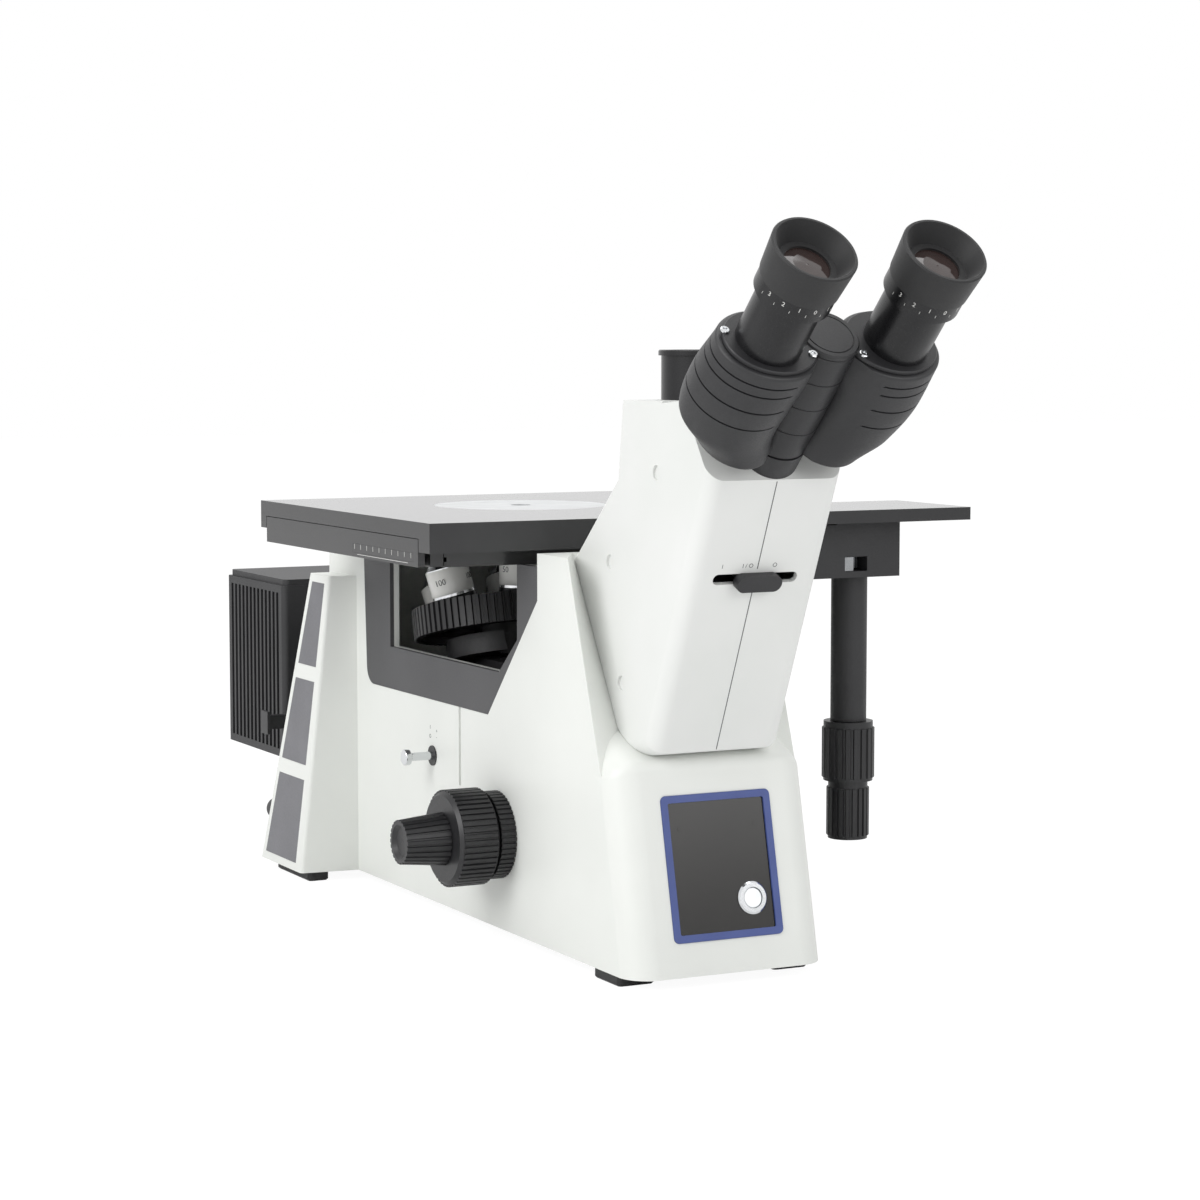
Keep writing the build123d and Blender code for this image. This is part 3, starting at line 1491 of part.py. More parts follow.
def lamphouse_shell():
    """Finned lamp house, open at the top, with a round hole in its front wall."""
    half = lamphouse_half_width
    shell = block(-half, half, lamphouse_front_y, lamphouse_rear_y, lamphouse_low_z, lamphouse_top_z - lid_thickness)
    shell = fillet(shell.edges().filter_by(Axis.Z), 4)
    wall = lamphouse_wall
    shell -= block(-half + wall, half - wall, lamphouse_front_y + wall, lamphouse_rear_y - wall,
                   lamphouse_low_z + wall, lamphouse_top_z)
    shell -= rod(frame_along((0, lamphouse_front_y, lamp_axis_z), (0, 1, 0)), neck_bore_radius, -5, wall + 5)
    depth = lamphouse_rear_y - lamphouse_front_y
    pitch = (depth - 14) / fin_count
    slot_low = lamphouse_low_z + 5
    slot_high = lamphouse_top_z - lid_thickness - 5
    for index in range(fin_count):
        y = lamphouse_front_y + 7 + pitch * (index + 0.5)
        slot = block(-half - 1, -half + fin_slot_depth, y - fin_slot_width / 2, y + fin_slot_width / 2,
                     slot_low, slot_high)
        shell -= slot
        shell -= mirror(slot, about=Plane.YZ)
    return shell


def lamphouse_lid():
    """Black lid of the lamp house."""
    half = lamphouse_half_width - lid_inset
    lid = block(-half, half, lamphouse_front_y + lid_inset, lamphouse_rear_y - lid_inset,
                lamphouse_top_z - lid_thickness, lamphouse_top_z)
    return fillet(lid.edges().filter_by(Axis.Z), 4)


def halogen_lamp():
    """Lamp capsule on its socket, which stands on the lamp house floor."""
    y = (lamphouse_front_y + lamphouse_rear_y) / 2
    floor = lamphouse_low_z + lamphouse_wall
    socket = block(-14, 14, y - 12, y + 12, floor, lamp_axis_z - bulb_length / 2)
    bulb = turned(Plane((0, y, lamp_axis_z - bulb_length / 2)), [
        (0, 0), (bulb_radius, 0), (bulb_radius, bulb_length * 0.8), (bulb_radius * 0.5, bulb_length),
        (0, bulb_length)])
    return Compound(children=[*socket.solids(), *bulb.solids()])


def collector_lens():
    """Collector lens in the lamp house's end of the neck."""
    axis = frame_along((0, lamphouse_front_y, lamp_axis_z), (0, 1, 0))
    return turned(axis, [
        (0, -6), (neck_bore_radius, -6), (neck_bore_radius, -1), (collector_radius * 0.6, 4), (0, 6)])


def fuse_holder():
    """Round cap of the fuse holder on the left wing."""
    slope_y = wing_foot_rear_y - (wing_foot_rear_y - wing_top_rear_y) * (fuse_z - foot_height) / (
        wing_top_z - foot_height)
    plane = frame_along((-fuse_x, slope_y, fuse_z), (0, 1, 0))
    cap = rod(plane, fuse_radius - 1.5, -wing_wall, 2) + rod(plane, fuse_radius, 1.8, fuse_length)
    return fillet(cap.edges().sort_by(Axis.Y)[-1:], 1)


def mains_inlet():
    """Three-pin appliance inlet in the rear wall."""
    half_w, half_h = inlet_width / 2, inlet_height / 2
    face_y = rear_wall_y + 2
    body = block(-half_w + seat_play, half_w - seat_play, rear_wall_y - inlet_depth, face_y,
                 inlet_z - half_h + seat_play, inlet_z + half_h - seat_play)
    body += block(-half_w - inlet_flange, half_w + inlet_flange, rear_wall_y, face_y,
                  inlet_z - half_h - inlet_flange, inlet_z + half_h + inlet_flange)
    mouth_w, mouth_h = inlet_mouth_width / 2, inlet_mouth_height / 2
    mouth_plane = Plane(origin=(0, face_y, inlet_z), x_dir=(-1, 0, 0), z_dir=(0, 1, 0))
    mouth = polygon([
        (-mouth_w, -mouth_h), (mouth_w, -mouth_h), (mouth_w, mouth_h - 4),
        (mouth_w - 4, mouth_h), (-mouth_w + 4, mouth_h), (-mouth_w, mouth_h - 4),
    ], mouth_plane)
    body -= extrude(mouth, amount=inlet_mouth_depth, dir=(0, -1, 0))
    pins = []
    floor = face_y - inlet_mouth_depth
    for x, z in ((-pin_spacing, -2), (pin_spacing, -2), (0, 2)):
        pins += block(x - pin_width / 2, x + pin_width / 2, floor, floor + pin_length,
                      inlet_z + z - pin_height / 2, inlet_z + z + pin_height / 2).solids()
    return Compound(children=[*body.solids(), *pins])


front_casting, rear_casting = castings()
left_shell, right_shell = head_shells()

put("front_casting", front_casting)
put("rear_casting", rear_casting)
put("bottom_plate", bottom_plate())
put("feet", feet())
put("fascias", fascias())
put("wing_inlays", wing_inlays())
put("panel_bezel", panel_bezel())
put("control_panel", control_panel())
put("button_ring", button_ring())
put("power_button", power_button())
put("left_head_shell", left_shell)
put("right_head_shell", right_shell)
put("port_tower", port_tower())
put("photo_port", photo_port())
put("selector_slide", selector_slide())
put("binocular_base", binocular_base())
for side, name in ((left, "left"), (right, "right")):
    put(f"{name}_prism_housing", prism_housing(side))
    put(f"{name}_eyepiece_tube", eyepiece_tube(side))
    put(f"{name}_diopter_ring", diopter_ring(side))
    put(f"{name}_eyecup", eyecup(side))
    put(f"{name}_eye_lens", eye_lens(side))
put("turret", turret())
put("turret_ring", turret_ring())
put("objectives", objectives())
put("nosepiece_carrier", nosepiece_carrier())
put("focus_guide", focus_guide())
put("shaft_bushes", shaft_bushes())
put("tension_collar", tension_collar())
put("coarse_shaft", coarse_shaft())
put("coarse_knobs", coarse_knobs())
put("fine_focus", fine_focus())
put("stage_base", stage_base())
put("stage_carriage", stage_carriage())
put("travel_scale", travel_scale())
put("stage_top", stage_top())
put("stage_insert", stage_insert())
put("drive_block", drive_block())
put("drive_sleeve", drive_sleeve())
put("y_shaft", y_shaft())
put("x_shaft", x_shaft())
put("y_knob", y_knob())
put("x_knob", stage_knob(x_knob_radius, x_knob_low_z, y_knob_low_z - loose, x_shaft_radius))
put("y_rack", y_rack())
put("x_rack", x_rack())
put("cube_slide", cube_slide())
put("relay_optics", relay_optics())
put("power_supply", power_supply())
put("illuminator_neck", illuminator_neck())
put("filter_slide", filter_slide())
put("lamphouse_shell", lamphouse_shell())
put("lamphouse_lid", lamphouse_lid())
put("halogen_lamp", halogen_lamp())
put("collector_lens", collector_lens())
put("fuse_holder", fuse_holder())
put("mains_inlet", mains_inlet())
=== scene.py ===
import math

import bmesh
import bpy
from mathutils import Matrix, Vector


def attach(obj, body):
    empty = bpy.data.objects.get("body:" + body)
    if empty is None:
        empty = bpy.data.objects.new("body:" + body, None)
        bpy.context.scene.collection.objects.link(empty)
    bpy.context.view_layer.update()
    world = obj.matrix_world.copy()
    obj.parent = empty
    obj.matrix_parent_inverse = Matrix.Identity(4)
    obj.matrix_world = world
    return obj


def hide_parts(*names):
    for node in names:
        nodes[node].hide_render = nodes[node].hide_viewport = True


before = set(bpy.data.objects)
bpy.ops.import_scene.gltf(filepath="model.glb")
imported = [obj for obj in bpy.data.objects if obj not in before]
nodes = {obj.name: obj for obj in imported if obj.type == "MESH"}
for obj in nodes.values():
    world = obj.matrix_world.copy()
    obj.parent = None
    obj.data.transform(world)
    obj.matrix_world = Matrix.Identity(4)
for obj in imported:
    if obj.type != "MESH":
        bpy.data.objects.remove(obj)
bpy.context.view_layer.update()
print("frame loaded:", len(nodes), "nodes")

# The optical axis stands here in the CAD frame, in metres.
axisPlace = Vector((-0.05335, 0.0333269, 0))


def fromAxis(x, y, z):  # millimetres from the optical axis and the bench
    return axisPlace + Vector((x, y, z)) / 1000


# Materials, each named for what the real surface is and how it was made.

def hexColor(text):  # sRGB hex to linear
    channels = []
    for start in (1, 3, 5):
        value = int(text[start:start + 2], 16) / 255
        channels.append(value / 12.92 if value <= 0.04045 else ((value + 0.055) / 1.055) ** 2.4)
    return (*channels, 1.0)


def addNode(material, kind, settings=None, links=None):
    tree = material.node_tree
    node = tree.nodes.new(kind)
    for key, value in (settings or {}).items():
        if isinstance(key, int) or key in node.inputs:
            node.inputs[key].default_value = value
        else:
            setattr(node, key, value)
    for key, source in (links or {}).items():
        tree.links.new(source, node.inputs[key])
    return node


def newMaterial(name, settings):
    material = bpy.data.materials.new(name)
    material.use_nodes = True
    shader = material.node_tree.nodes["Principled BSDF"]
    for key, value in settings.items():
        shader.inputs[key].default_value = value
    return material, shader


def setInput(material, shader, key, source):
    material.node_tree.links.new(source, shader.inputs[key])


def mixColors(material, factor, low, high):
    mix = addNode(material, "ShaderNodeMix", {"data_type": "RGBA", 6: low, 7: high}, {0: factor})
    return mix.outputs[2]


def grain(material, sizeMm, detail=2.0, stretch=(1, 1, 1)):  # noise with spots of a real size
    place = addNode(material, "ShaderNodeTexCoord")
    mapping = addNode(material, "ShaderNodeMapping", {"Scale": stretch}, {"Vector": place.outputs["Object"]})
    noise = addNode(
        material, "ShaderNodeTexNoise",
        {"Scale": 1000 / sizeMm, "Detail": detail, "Roughness": 0.5},
        {"Vector": mapping.outputs["Vector"]})
    return noise.outputs["Fac"]


noiseRange = {"From Min": 0.3, "From Max": 0.7}  # nearly all of a noise's values lie in here


def spread(material, noise, low, high):  # a noise's values, spread between two others
    node = addNode(material, "ShaderNodeMapRange", {**noiseRange, "To Min": low, "To Max": high},
                   {"Value": noise})
    return node.outputs["Result"]


def bumpFrom(material, shader, height, strength, distanceMm):
    bump = addNode(
        material, "ShaderNodeBump",
        {"Strength": strength, "Distance": distanceMm / 1000},
        {"Height": height})
    setInput(material, shader, "Normal", bump.outputs["Normal"])


def surface(name, look):
    # A plain surface: colour that drifts a little, roughness that varies, and fine relief.
    material, shader = newMaterial(name, look.get("shader", {}))
    patches = spread(material, grain(material, look["patchMm"], detail=3.0), 0, 1)
    color = mixColors(material, patches, hexColor(look["dark"]), hexColor(look["light"]))
    setInput(material, shader, "Base Color", color)
    fine = grain(material, look["grainMm"], stretch=look.get("stretch", (1, 1, 1)))
    rough = spread(material, fine, look["roughness"] - look["roughSpread"],
                   look["roughness"] + look["roughSpread"])
    setInput(material, shader, "Roughness", rough)
    bumpFrom(material, shader, fine, look["bump"], look["bumpMm"])
    return material


looks = {
    # Off-white two-part enamel, sprayed: a faint orange peel that softens reflections.
    "sprayedEnamelOffWhite": {
        "dark": "#E1E3DF", "light": "#E6E8E4", "patchMm": 90, "grainMm": 1.6, "roughness": 0.42,
        "roughSpread": 0.03, "bump": 0.12, "bumpMm": 0.05},
    # Moulded ABS of the head covers: a very fine spark-eroded grain.
    "mouldedAbsOffWhite": {
        "dark": "#E0E2DF", "light": "#E5E6E4", "patchMm": 70, "grainMm": 0.7, "roughness": 0.48,
        "roughSpread": 0.04, "bump": 0.16, "bumpMm": 0.03},
    # Moulded ABS, black, with a leather-like grain: the eyepiece head and the selector's knob.
    "grainedAbsBlack": {
        "dark": "#232325", "light": "#2B2B2D", "patchMm": 40, "grainMm": 0.9, "roughness": 0.46,
        "roughSpread": 0.06, "bump": 0.35, "bumpMm": 0.06},
    # Moulded nylon of the ribbed knobs, the nosepiece ring and the inlet, smoother than the head.
    "mouldedNylonBlack": {
        "dark": "#1B1B1D", "light": "#222224", "patchMm": 30, "grainMm": 0.6, "roughness": 0.4,
        "roughSpread": 0.05, "bump": 0.2, "bumpMm": 0.03},
    # Moulded ABS, dark grey, of the window frames.
    "mouldedAbsDarkGrey": {
        "dark": "#434345", "light": "#4B4B4D", "patchMm": 50, "grainMm": 0.8, "roughness": 0.5,
        "roughSpread": 0.05, "bump": 0.25, "bumpMm": 0.05},
    # Textured polycarbonate sheet of the wing inlays, lighter than the frames.
    "texturedPolycarbonateGrey": {
        "dark": "#6C6C70", "light": "#76767A", "patchMm": 40, "grainMm": 1.1, "roughness": 0.55,
        "roughSpread": 0.06, "bump": 0.4, "bumpMm": 0.08},
    # Black anodised aluminium of the stage plates, sealed: dark, and pale like the room at low angles.
    "anodisedAluminiumBlack": {
        "dark": "#1A1A1C", "light": "#202022", "patchMm": 60, "grainMm": 0.5, "roughness": 0.33,
        "roughSpread": 0.04, "bump": 0.12, "bumpMm": 0.02,
        "shader": {"Metallic": 0.35, "Coat Weight": 0.75, "Coat Roughness": 0.12}},
    # Black powder coat of the lamp house, neck and brackets: coarser, with soft highlights.
    "powderCoatBlack": {
        "dark": "#1F1F21", "light": "#28282A", "patchMm": 50, "grainMm": 0.9, "roughness": 0.5,
        "roughSpread": 0.07, "bump": 0.45, "bumpMm": 0.08},
    # Turned and anodised tubes and rings of the eyepieces, the camera port and the objectives, satin.
    "satinAnodisedBlack": {
        "dark": "#161618", "light": "#1C1C1E", "patchMm": 30, "grainMm": 0.4, "roughness": 0.3,
        "roughSpread": 0.04, "bump": 0.1, "bumpMm": 0.01,
        "shader": {"Metallic": 0.2}},
    # Soft rubber of the eyecups and feet: matt, dusty at grazing angles.
    "mouldedRubberBlack": {
        "dark": "#1A1A1B", "light": "#212122", "patchMm": 20, "grainMm": 0.5, "roughness": 0.62,
        "roughSpread": 0.06, "bump": 0.2, "bumpMm": 0.03,
        "shader": {"Sheen Weight": 0.15, "Sheen Roughness": 0.4}},
    # Blue polycarbonate frame of the panel.
    "mouldedPolycarbonateBlue": {
        "dark": "#3A4A86", "light": "#41528E", "patchMm": 20, "grainMm": 0.6, "roughness": 0.38,
        "roughSpread": 0.04, "bump": 0.1, "bumpMm": 0.02},
    # Glossy black film on the panel plate.
    "glossFilmBlack": {
        "dark": "#171513", "light": "#1D1B19", "patchMm": 30, "grainMm": 0.8, "roughness": 0.16,
        "roughSpread": 0.02, "bump": 0.04, "bumpMm": 0.01},
    # Fine brushed aluminium of the stage insert, the button cap and the rims of the eye lenses.
    "brushedAluminiumBright": {
        "dark": "#C9CBCC", "light": "#DADCDD", "patchMm": 15, "grainMm": 0.25, "roughness": 0.34,
        "roughSpread": 0.06, "bump": 0.08, "bumpMm": 0.01, "stretch": (1, 12, 1),
        "shader": {"Metallic": 1.0}},
    # Polished chrome of the button ring, the rod, the cover screws and the objective barrels.
    "polishedChrome": {
        "dark": "#D4D6D8", "light": "#DCDEE0", "patchMm": 12, "grainMm": 0.6, "roughness": 0.1,
        "roughSpread": 0.03, "bump": 0.03, "bumpMm": 0.005,
        "shader": {"Metallic": 1.0}},
    # Ground steel of the shafts, racks and guides, with fine turning marks.
    "groundSteel": {
        "dark": "#8E9092", "light": "#A4A6A8", "patchMm": 12, "grainMm": 0.3, "roughness": 0.28,
        "roughSpread": 0.06, "bump": 0.1, "bumpMm": 0.01, "stretch": (1, 1, 8),
        "shader": {"Metallic": 1.0}},
    # White lacquer band on the objectives.
    "lacquerWhite": {
        "dark": "#E6E6E2", "light": "#EEEEEA", "patchMm": 10, "grainMm": 0.4, "roughness": 0.3,
        "roughSpread": 0.03, "bump": 0.04, "bumpMm": 0.01},
    # Screen-printed ink, light grey, for the scales on black.
    "printedInkWhite": {
        "dark": "#CFCFCC", "light": "#DADAD7", "patchMm": 8, "grainMm": 0.3, "roughness": 0.55,
        "roughSpread": 0.04, "bump": 0.05, "bumpMm": 0.01},
    # Screen-printed ink, dark grey, for the signs on white, and the dark line between the head shells.
    "printedInkGrey": {
        "dark": "#5C5D5E", "light": "#66676A", "patchMm": 8, "grainMm": 0.3, "roughness": 0.55,
        "roughSpread": 0.04, "bump": 0.05, "bumpMm": 0.01},
}
finishes = {name: surface(name, look) for name, look in looks.items()}


crownGlass = {"IOR": 1.52, "Transmission Weight": 0.35, "Coat Weight": 0.6, "Coat Roughness": 0.04}
lensHaze = {"spotMm": 8, "roughSpread": 0.05}


def coatedLens(name, tint, roughness):
    material, shader = newMaterial(name, {"Base Color": hexColor(tint), **crownGlass})
    haze = grain(material, lensHaze["spotMm"], detail=1.0)
    setInput(material, shader, "Roughness",
             spread(material, haze, roughness, roughness + lensHaze["roughSpread"]))
    return material


# Coated crown glass of the eye lenses: dark, with a warm reflection.
finishes["coatedGlassWarm"] = coatedLens("coatedGlassWarm", "#4A3B38", 0.05)
# Clear pressed glass of the collector lens and the lamp.
finishes["pressedGlassClear"] = coatedLens("pressedGlassClear", "#C9CFCD", 0.08)
print("materials made:", len(finishes))

nodeFinish = {
    "sprayedEnamelOffWhite": ["front_casting", "rear_casting"],
    "mouldedAbsOffWhite": ["left_head_shell", "right_head_shell", "port_tower"],
    "grainedAbsBlack": ["left_prism_housing", "right_prism_housing", "selector_slide"],
    "mouldedNylonBlack": [
        "tension_collar", "coarse_knobs", "fine_focus", "y_knob", "x_knob", "shaft_bushes",
        "turret_ring", "fuse_holder", "mains_inlet", "filter_slide"],
    "mouldedAbsDarkGrey": ["fascias"],
    "texturedPolycarbonateGrey": ["wing_inlays"],
    "anodisedAluminiumBlack": ["stage_base", "stage_carriage", "stage_top", "travel_scale"],
    "powderCoatBlack": [
        "lamphouse_shell", "lamphouse_lid", "illuminator_neck", "drive_block", "drive_sleeve",
        "binocular_base", "nosepiece_carrier", "turret", "relay_optics"],
    "satinAnodisedBlack": [
        "left_eyepiece_tube", "right_eyepiece_tube", "left_diopter_ring", "right_diopter_ring",
        "photo_port"],
    "mouldedRubberBlack": ["feet", "left_eyecup", "right_eyecup"],
    "mouldedPolycarbonateBlue": ["panel_bezel"],
    "glossFilmBlack": ["control_panel"],
    "brushedAluminiumBright": ["stage_insert", "power_button"],
    "polishedChrome": ["button_ring", "objectives", "cube_slide"],
    "groundSteel": [
        "bottom_plate", "focus_guide", "coarse_shaft", "y_shaft", "x_shaft", "y_rack", "x_rack",
        "power_supply"],
    "coatedGlassWarm": ["left_eye_lens", "right_eye_lens"],
    "pressedGlassClear": ["halogen_lamp", "collector_lens"],
}


def dressNode(node, finish):
    mesh = nodes[node].data
    mesh.materials.clear()
    mesh.materials.append(finishes[finish])


for finish, members in nodeFinish.items():
    for node in members:
        dressNode(node, finish)
print("CAD nodes dressed")


# Helpers for new pieces. Sizes are in millimetres and turn to metres when a piece is placed.

def placeAlong(origin, across, along):  # matrix whose z runs along a direction
    zAxis = Vector(along).normalized()
    xAxis = Vector(across).normalized()
    matrix = Matrix((xAxis, zAxis.cross(xAxis), zAxis)).transposed().to_4x4()
    matrix.translation = origin
    return matrix


def shifted(x, y, z):
    return Matrix.Translation(Vector((x, y, z)) / 1000)


def startEdit():
    bpy.ops.object.mode_set(mode="EDIT")
    bpy.ops.mesh.select_all(action="SELECT")


def endEdit():
    bpy.ops.mesh.select_all(action="SELECT")
    bpy.ops.mesh.normals_make_consistent(inside=False)
    bpy.ops.object.mode_set(mode="OBJECT")


def selectVertices(piece, wanted):  # in edit mode, by place in millimetres
    shape = bmesh.from_edit_mesh(piece.data)
    for face in shape.faces:
        face.select = False
    for edge in shape.edges:
        edge.select = False
    for vertex in shape.verts:
        vertex.select = wanted(vertex.co * 1000)
    shape.select_flush(True)
    bmesh.update_edit_mesh(piece.data)


def closeFirstRing(piece, segments):  # a face over the ring that the piece was started from
    shape = bmesh.from_edit_mesh(piece.data)
    shape.verts.ensure_lookup_table()
    firstRing = set(shape.verts[:segments])
    for vertex in shape.verts:
        vertex.select = vertex in firstRing
    shape.select_flush(True)
    for face in shape.faces:
        face.select = False
    for edge in shape.edges:
        edge.select = all(vertex in firstRing for vertex in edge.verts)
    bmesh.update_edit_mesh(piece.data)
    bpy.ops.mesh.edge_face_add()


def ringPiece(rings, segments=72):
    # Closed form from oval rings: height, half width, half depth, centre x, centre y. A circle of
    # 1 mm is stretched to the first ring, and each extrusion is stretched to the next.
    bpy.ops.object.select_all(action="DESELECT")
    height, width, depth, x, y = rings[0]
    bpy.ops.mesh.primitive_circle_add(vertices=segments, radius=0.001, location=(0, 0, 0))
    piece = bpy.context.object
    startEdit()
    bpy.ops.transform.resize(value=(width, depth, 1), center_override=(0, 0, 0))
    bpy.ops.transform.translate(value=(x / 1000, y / 1000, height / 1000))
    for nextRing in rings[1:]:
        nextHeight, nextWidth, nextDepth, nextX, nextY = nextRing
        step = Vector((nextX - x, nextY - y, nextHeight - height)) / 1000
        bpy.ops.mesh.extrude_region_move(TRANSFORM_OT_translate={"value": step})
        bpy.ops.transform.resize(value=(nextWidth / width, nextDepth / depth, 1),
                                 center_override=Vector((nextX, nextY, nextHeight)) / 1000)
        height, width, depth, x, y = nextRing
    bpy.ops.mesh.edge_face_add()
    closeFirstRing(piece, segments)
    endEdit()
    return piece


def turnedPiece(profile, segments=72):  # corners (radius, height) from the bottom up
    return ringPiece([(height, radius, radius, 0, 0) for radius, height in profile], segments)


def mirrorPiece(piece):  # from the left of the hinge to its right
    piece.data.transform(Matrix.Diagonal((-1, 1, 1, 1)))
    piece.data.flip_normals()


smoothDegrees = 32  # edges sharper than this stay crisp


def finishPiece(piece, name, place, finish, body):
    piece.name = name
    piece.data.name = name
    piece.data.transform(place)
    piece.data.materials.clear()
    piece.data.materials.append(finishes[finish])
    bpy.ops.object.select_all(action="DESELECT")
    piece.select_set(True)
    bpy.context.view_layer.objects.active = piece
    bpy.ops.object.shade_smooth_by_angle(angle=math.radians(smoothDegrees))
    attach(piece, body)
    return piece


def joinPieces(pieces):
    bpy.ops.object.select_all(action="DESELECT")
    for piece in pieces:
        piece.select_set(True)
    bpy.context.view_layer.objects.active = pieces[0]
    bpy.ops.object.join()
    return bpy.context.object


inkThickness = 0.04  # drawn thicker than real ink, so that it shows


def printed(text, sizeMm, place):  # raised print, as a mesh
    bpy.ops.object.select_all(action="DESELECT")
    bpy.ops.object.text_add(location=(0, 0, 0))
    words = bpy.context.object
    words.data.body = text
    words.data.size = sizeMm / 1000
    words.data.align_x = "CENTER"
    words.data.align_y = "CENTER"
    words.data.extrude = inkThickness / 1000
    bpy.ops.object.convert(target="MESH")
    piece = bpy.context.object
    piece.data.transform(place)
    return piece


def printedRound(text, sizeMm, place, degrees, radius, height):  # print on the side of a turned piece
    angle = math.radians(degrees)
    outward = Vector((math.cos(angle), math.sin(angle), 0))
    sideways = Vector((-math.sin(angle), math.cos(angle), 0))
    spot = outward * radius + Vector((0, 0, height))
    return printed(text, sizeMm, place @ placeAlong(spot / 1000, sideways, outward))


# The eyepiece head: prism housings with their knuckles, the hinge's base and its cap.

eyeHead = {
    "hingeY": -351.6, "hingeZ": 340.6, "tiltDegrees": 45, "halfSpacing": 36.5, "drop": 5.0,
    "length": 70.0, "sections": (  # height, out from the hinge, below it, half width, half depth
        (0.0, 34.5, 4.2, 28.0, 24.2), (-30.0, 36.7, 1.8, 27.0, 26.5),
        (-55.0, 34.4, -0.3, 25.5, 24.9), (-70.0, 26.0, 1.3, 20.2, 22.1)),
    "levels": 36, "segments": 128, "rounding": 1.6, "roundingDegrees": (0, 30, 60, 90),
    "grooves": (7.0, 13.0, 24.0, 36.5), "grooveDepth": 0.9, "grooveWidth": 1.0, "grooveSlope": 0.15,
    "grooveClear": 0.4, "grooveFloor": 0.4, "grooveEnd": 25.5, "closeDegrees": 37, "openDegrees": 8,
    "gap": 0.3, "knuckles": 4, "knuckleRadius": 16.5, "knuckleBevel": 0.4,
    "base": ((17, -94), (17, -70.3)),
    "cap": ((16.3, 0.3), (16.5, 0.6), (16.5, 2.4), (15.6, 3.3), (13.4, 3.3), (13.2, 2.9), (12.8, 2.9),
            (12.6, 3.3))}
tilt = math.radians(eyeHead["tiltDegrees"])
eyeAxis = Vector((0, -math.sin(tilt), math.cos(tilt)))
eyePlace = placeAlong(fromAxis(0, eyeHead["hingeY"], eyeHead["hingeZ"]), (1, 0, 0), eyeAxis)


def housingRing(height):  # smooth cubic blend between the measured sections
    sections = eyeHead["sections"]
    for index in range(len(sections) - 1):
        top, low = sections[index], sections[index + 1]
        if height >= low[0]:
            break
    before = sections[max(index - 1, 0)]
    after = sections[min(index + 2, len(sections) - 1)]
    share = (top[0] - height) / (top[0] - low[0])
    topWeight = 2 * share ** 3 - 3 * share ** 2 + 1
    topSlopeWeight = share ** 3 - 2 * share ** 2 + share
    lowWeight = 3 * share ** 2 - 2 * share ** 3
    lowSlopeWeight = share ** 3 - share ** 2
    values = []
    for k in range(1, 5):
        blend = topWeight * top[k] + topSlopeWeight * (low[k] - before[k]) / 2
        blend += lowWeight * low[k] + lowSlopeWeight * (after[k] - top[k]) / 2
        values.append(blend)
    out, drop, width, depth = values
    return height, width, depth, -out, -drop


def roundedEnd(end, inward):  # rings from a housing's full width to its end face
    rings = []
    for degrees in eyeHead["roundingDegrees"]:
        angle = math.radians(degrees)
        inset = eyeHead["rounding"] * (1 - math.cos(angle))
        rise = eyeHead["rounding"] * (1 - math.sin(angle))
        height, width, depth, x, y = housingRing(end + inward * rise)
        rings.append((height, width - inset, depth - inset, x, y))
    return rings


def housingLevels():  # even heights, with four close together at each groove
    length, rounding = eyeHead["length"], eyeHead["rounding"]
    half, slope = eyeHead["grooveWidth"] / 2, eyeHead["grooveSlope"]
    levels = [-length * index / eyeHead["levels"] for index in range(eyeHead["levels"])]
    for down in eyeHead["grooves"]:
        levels = [level for level in levels if abs(level + down) > half + eyeHead["grooveClear"]]
        levels += [-down + half, -down + half - slope, -down - half + slope, -down - half]
    return sorted(level for level in levels if rounding - length < level < -rounding)


def cutGrooves(piece):
    depthIn = eyeHead["grooveDepth"]
    for down in eyeHead["grooves"]:
        height, width, depth, x, y = housingRing(-down)
        selectVertices(piece, lambda point: (abs(point.z + down) < eyeHead["grooveFloor"]
                                             and point.x < -eyeHead["grooveEnd"]))
        bpy.ops.transform.resize(value=(1 - depthIn / width, 1 - depthIn / depth, 1),
                                 center_override=Vector((x, y, height)) / 1000)


def knuckles(side):  # every other ring on the hinge belongs to this side
    length, gap, radius = eyeHead["length"], eyeHead["gap"], eyeHead["knuckleRadius"]
    bevel = eyeHead["knuckleBevel"]
    pitch = length / eyeHead["knuckles"]
    owned = []
    for index in range(0 if side < 0 else 1, eyeHead["knuckles"], 2):
        low = -length + index * pitch + gap / 2
        high = low + pitch - gap
        owned.append(turnedPiece([(radius - bevel, low), (radius, low + bevel), (radius, high - bevel),
                                  (radius - bevel, high)]))
    return owned


def prismHousing(side):
    rings = roundedEnd(-eyeHead["length"], 1)[::-1]
    rings += [housingRing(level) for level in housingLevels()]
    rings += roundedEnd(0, -1)
    piece = ringPiece(rings, segments=eyeHead["segments"])
    startEdit()
    cutGrooves(piece)
    for degrees in (-eyeHead["closeDegrees"], eyeHead["openDegrees"]):  # room for the swing
        bpy.ops.mesh.select_all(action="SELECT")
        angle = math.radians(degrees)
        normal = Vector((math.cos(angle), math.sin(angle), 0))
        bpy.ops.mesh.bisect(plane_co=-normal * eyeHead["gap"] / 1000, plane_no=normal, use_fill=True,
                            clear_outer=True)
    endEdit()
    if side > 0:
        mirrorPiece(piece)
    name = "leftPrismHousing" if side < 0 else "rightPrismHousing"
    body = "left_ocular" if side < 0 else "right_ocular"
    whole = joinPieces([piece, *knuckles(side)])
    housing = finishPiece(whole, name, eyePlace, "grainedAbsBlack", body)
    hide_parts("left_prism_housing" if side < 0 else "right_prism_housing")
    return body


# Oval cover plate on each housing, and its two screws.

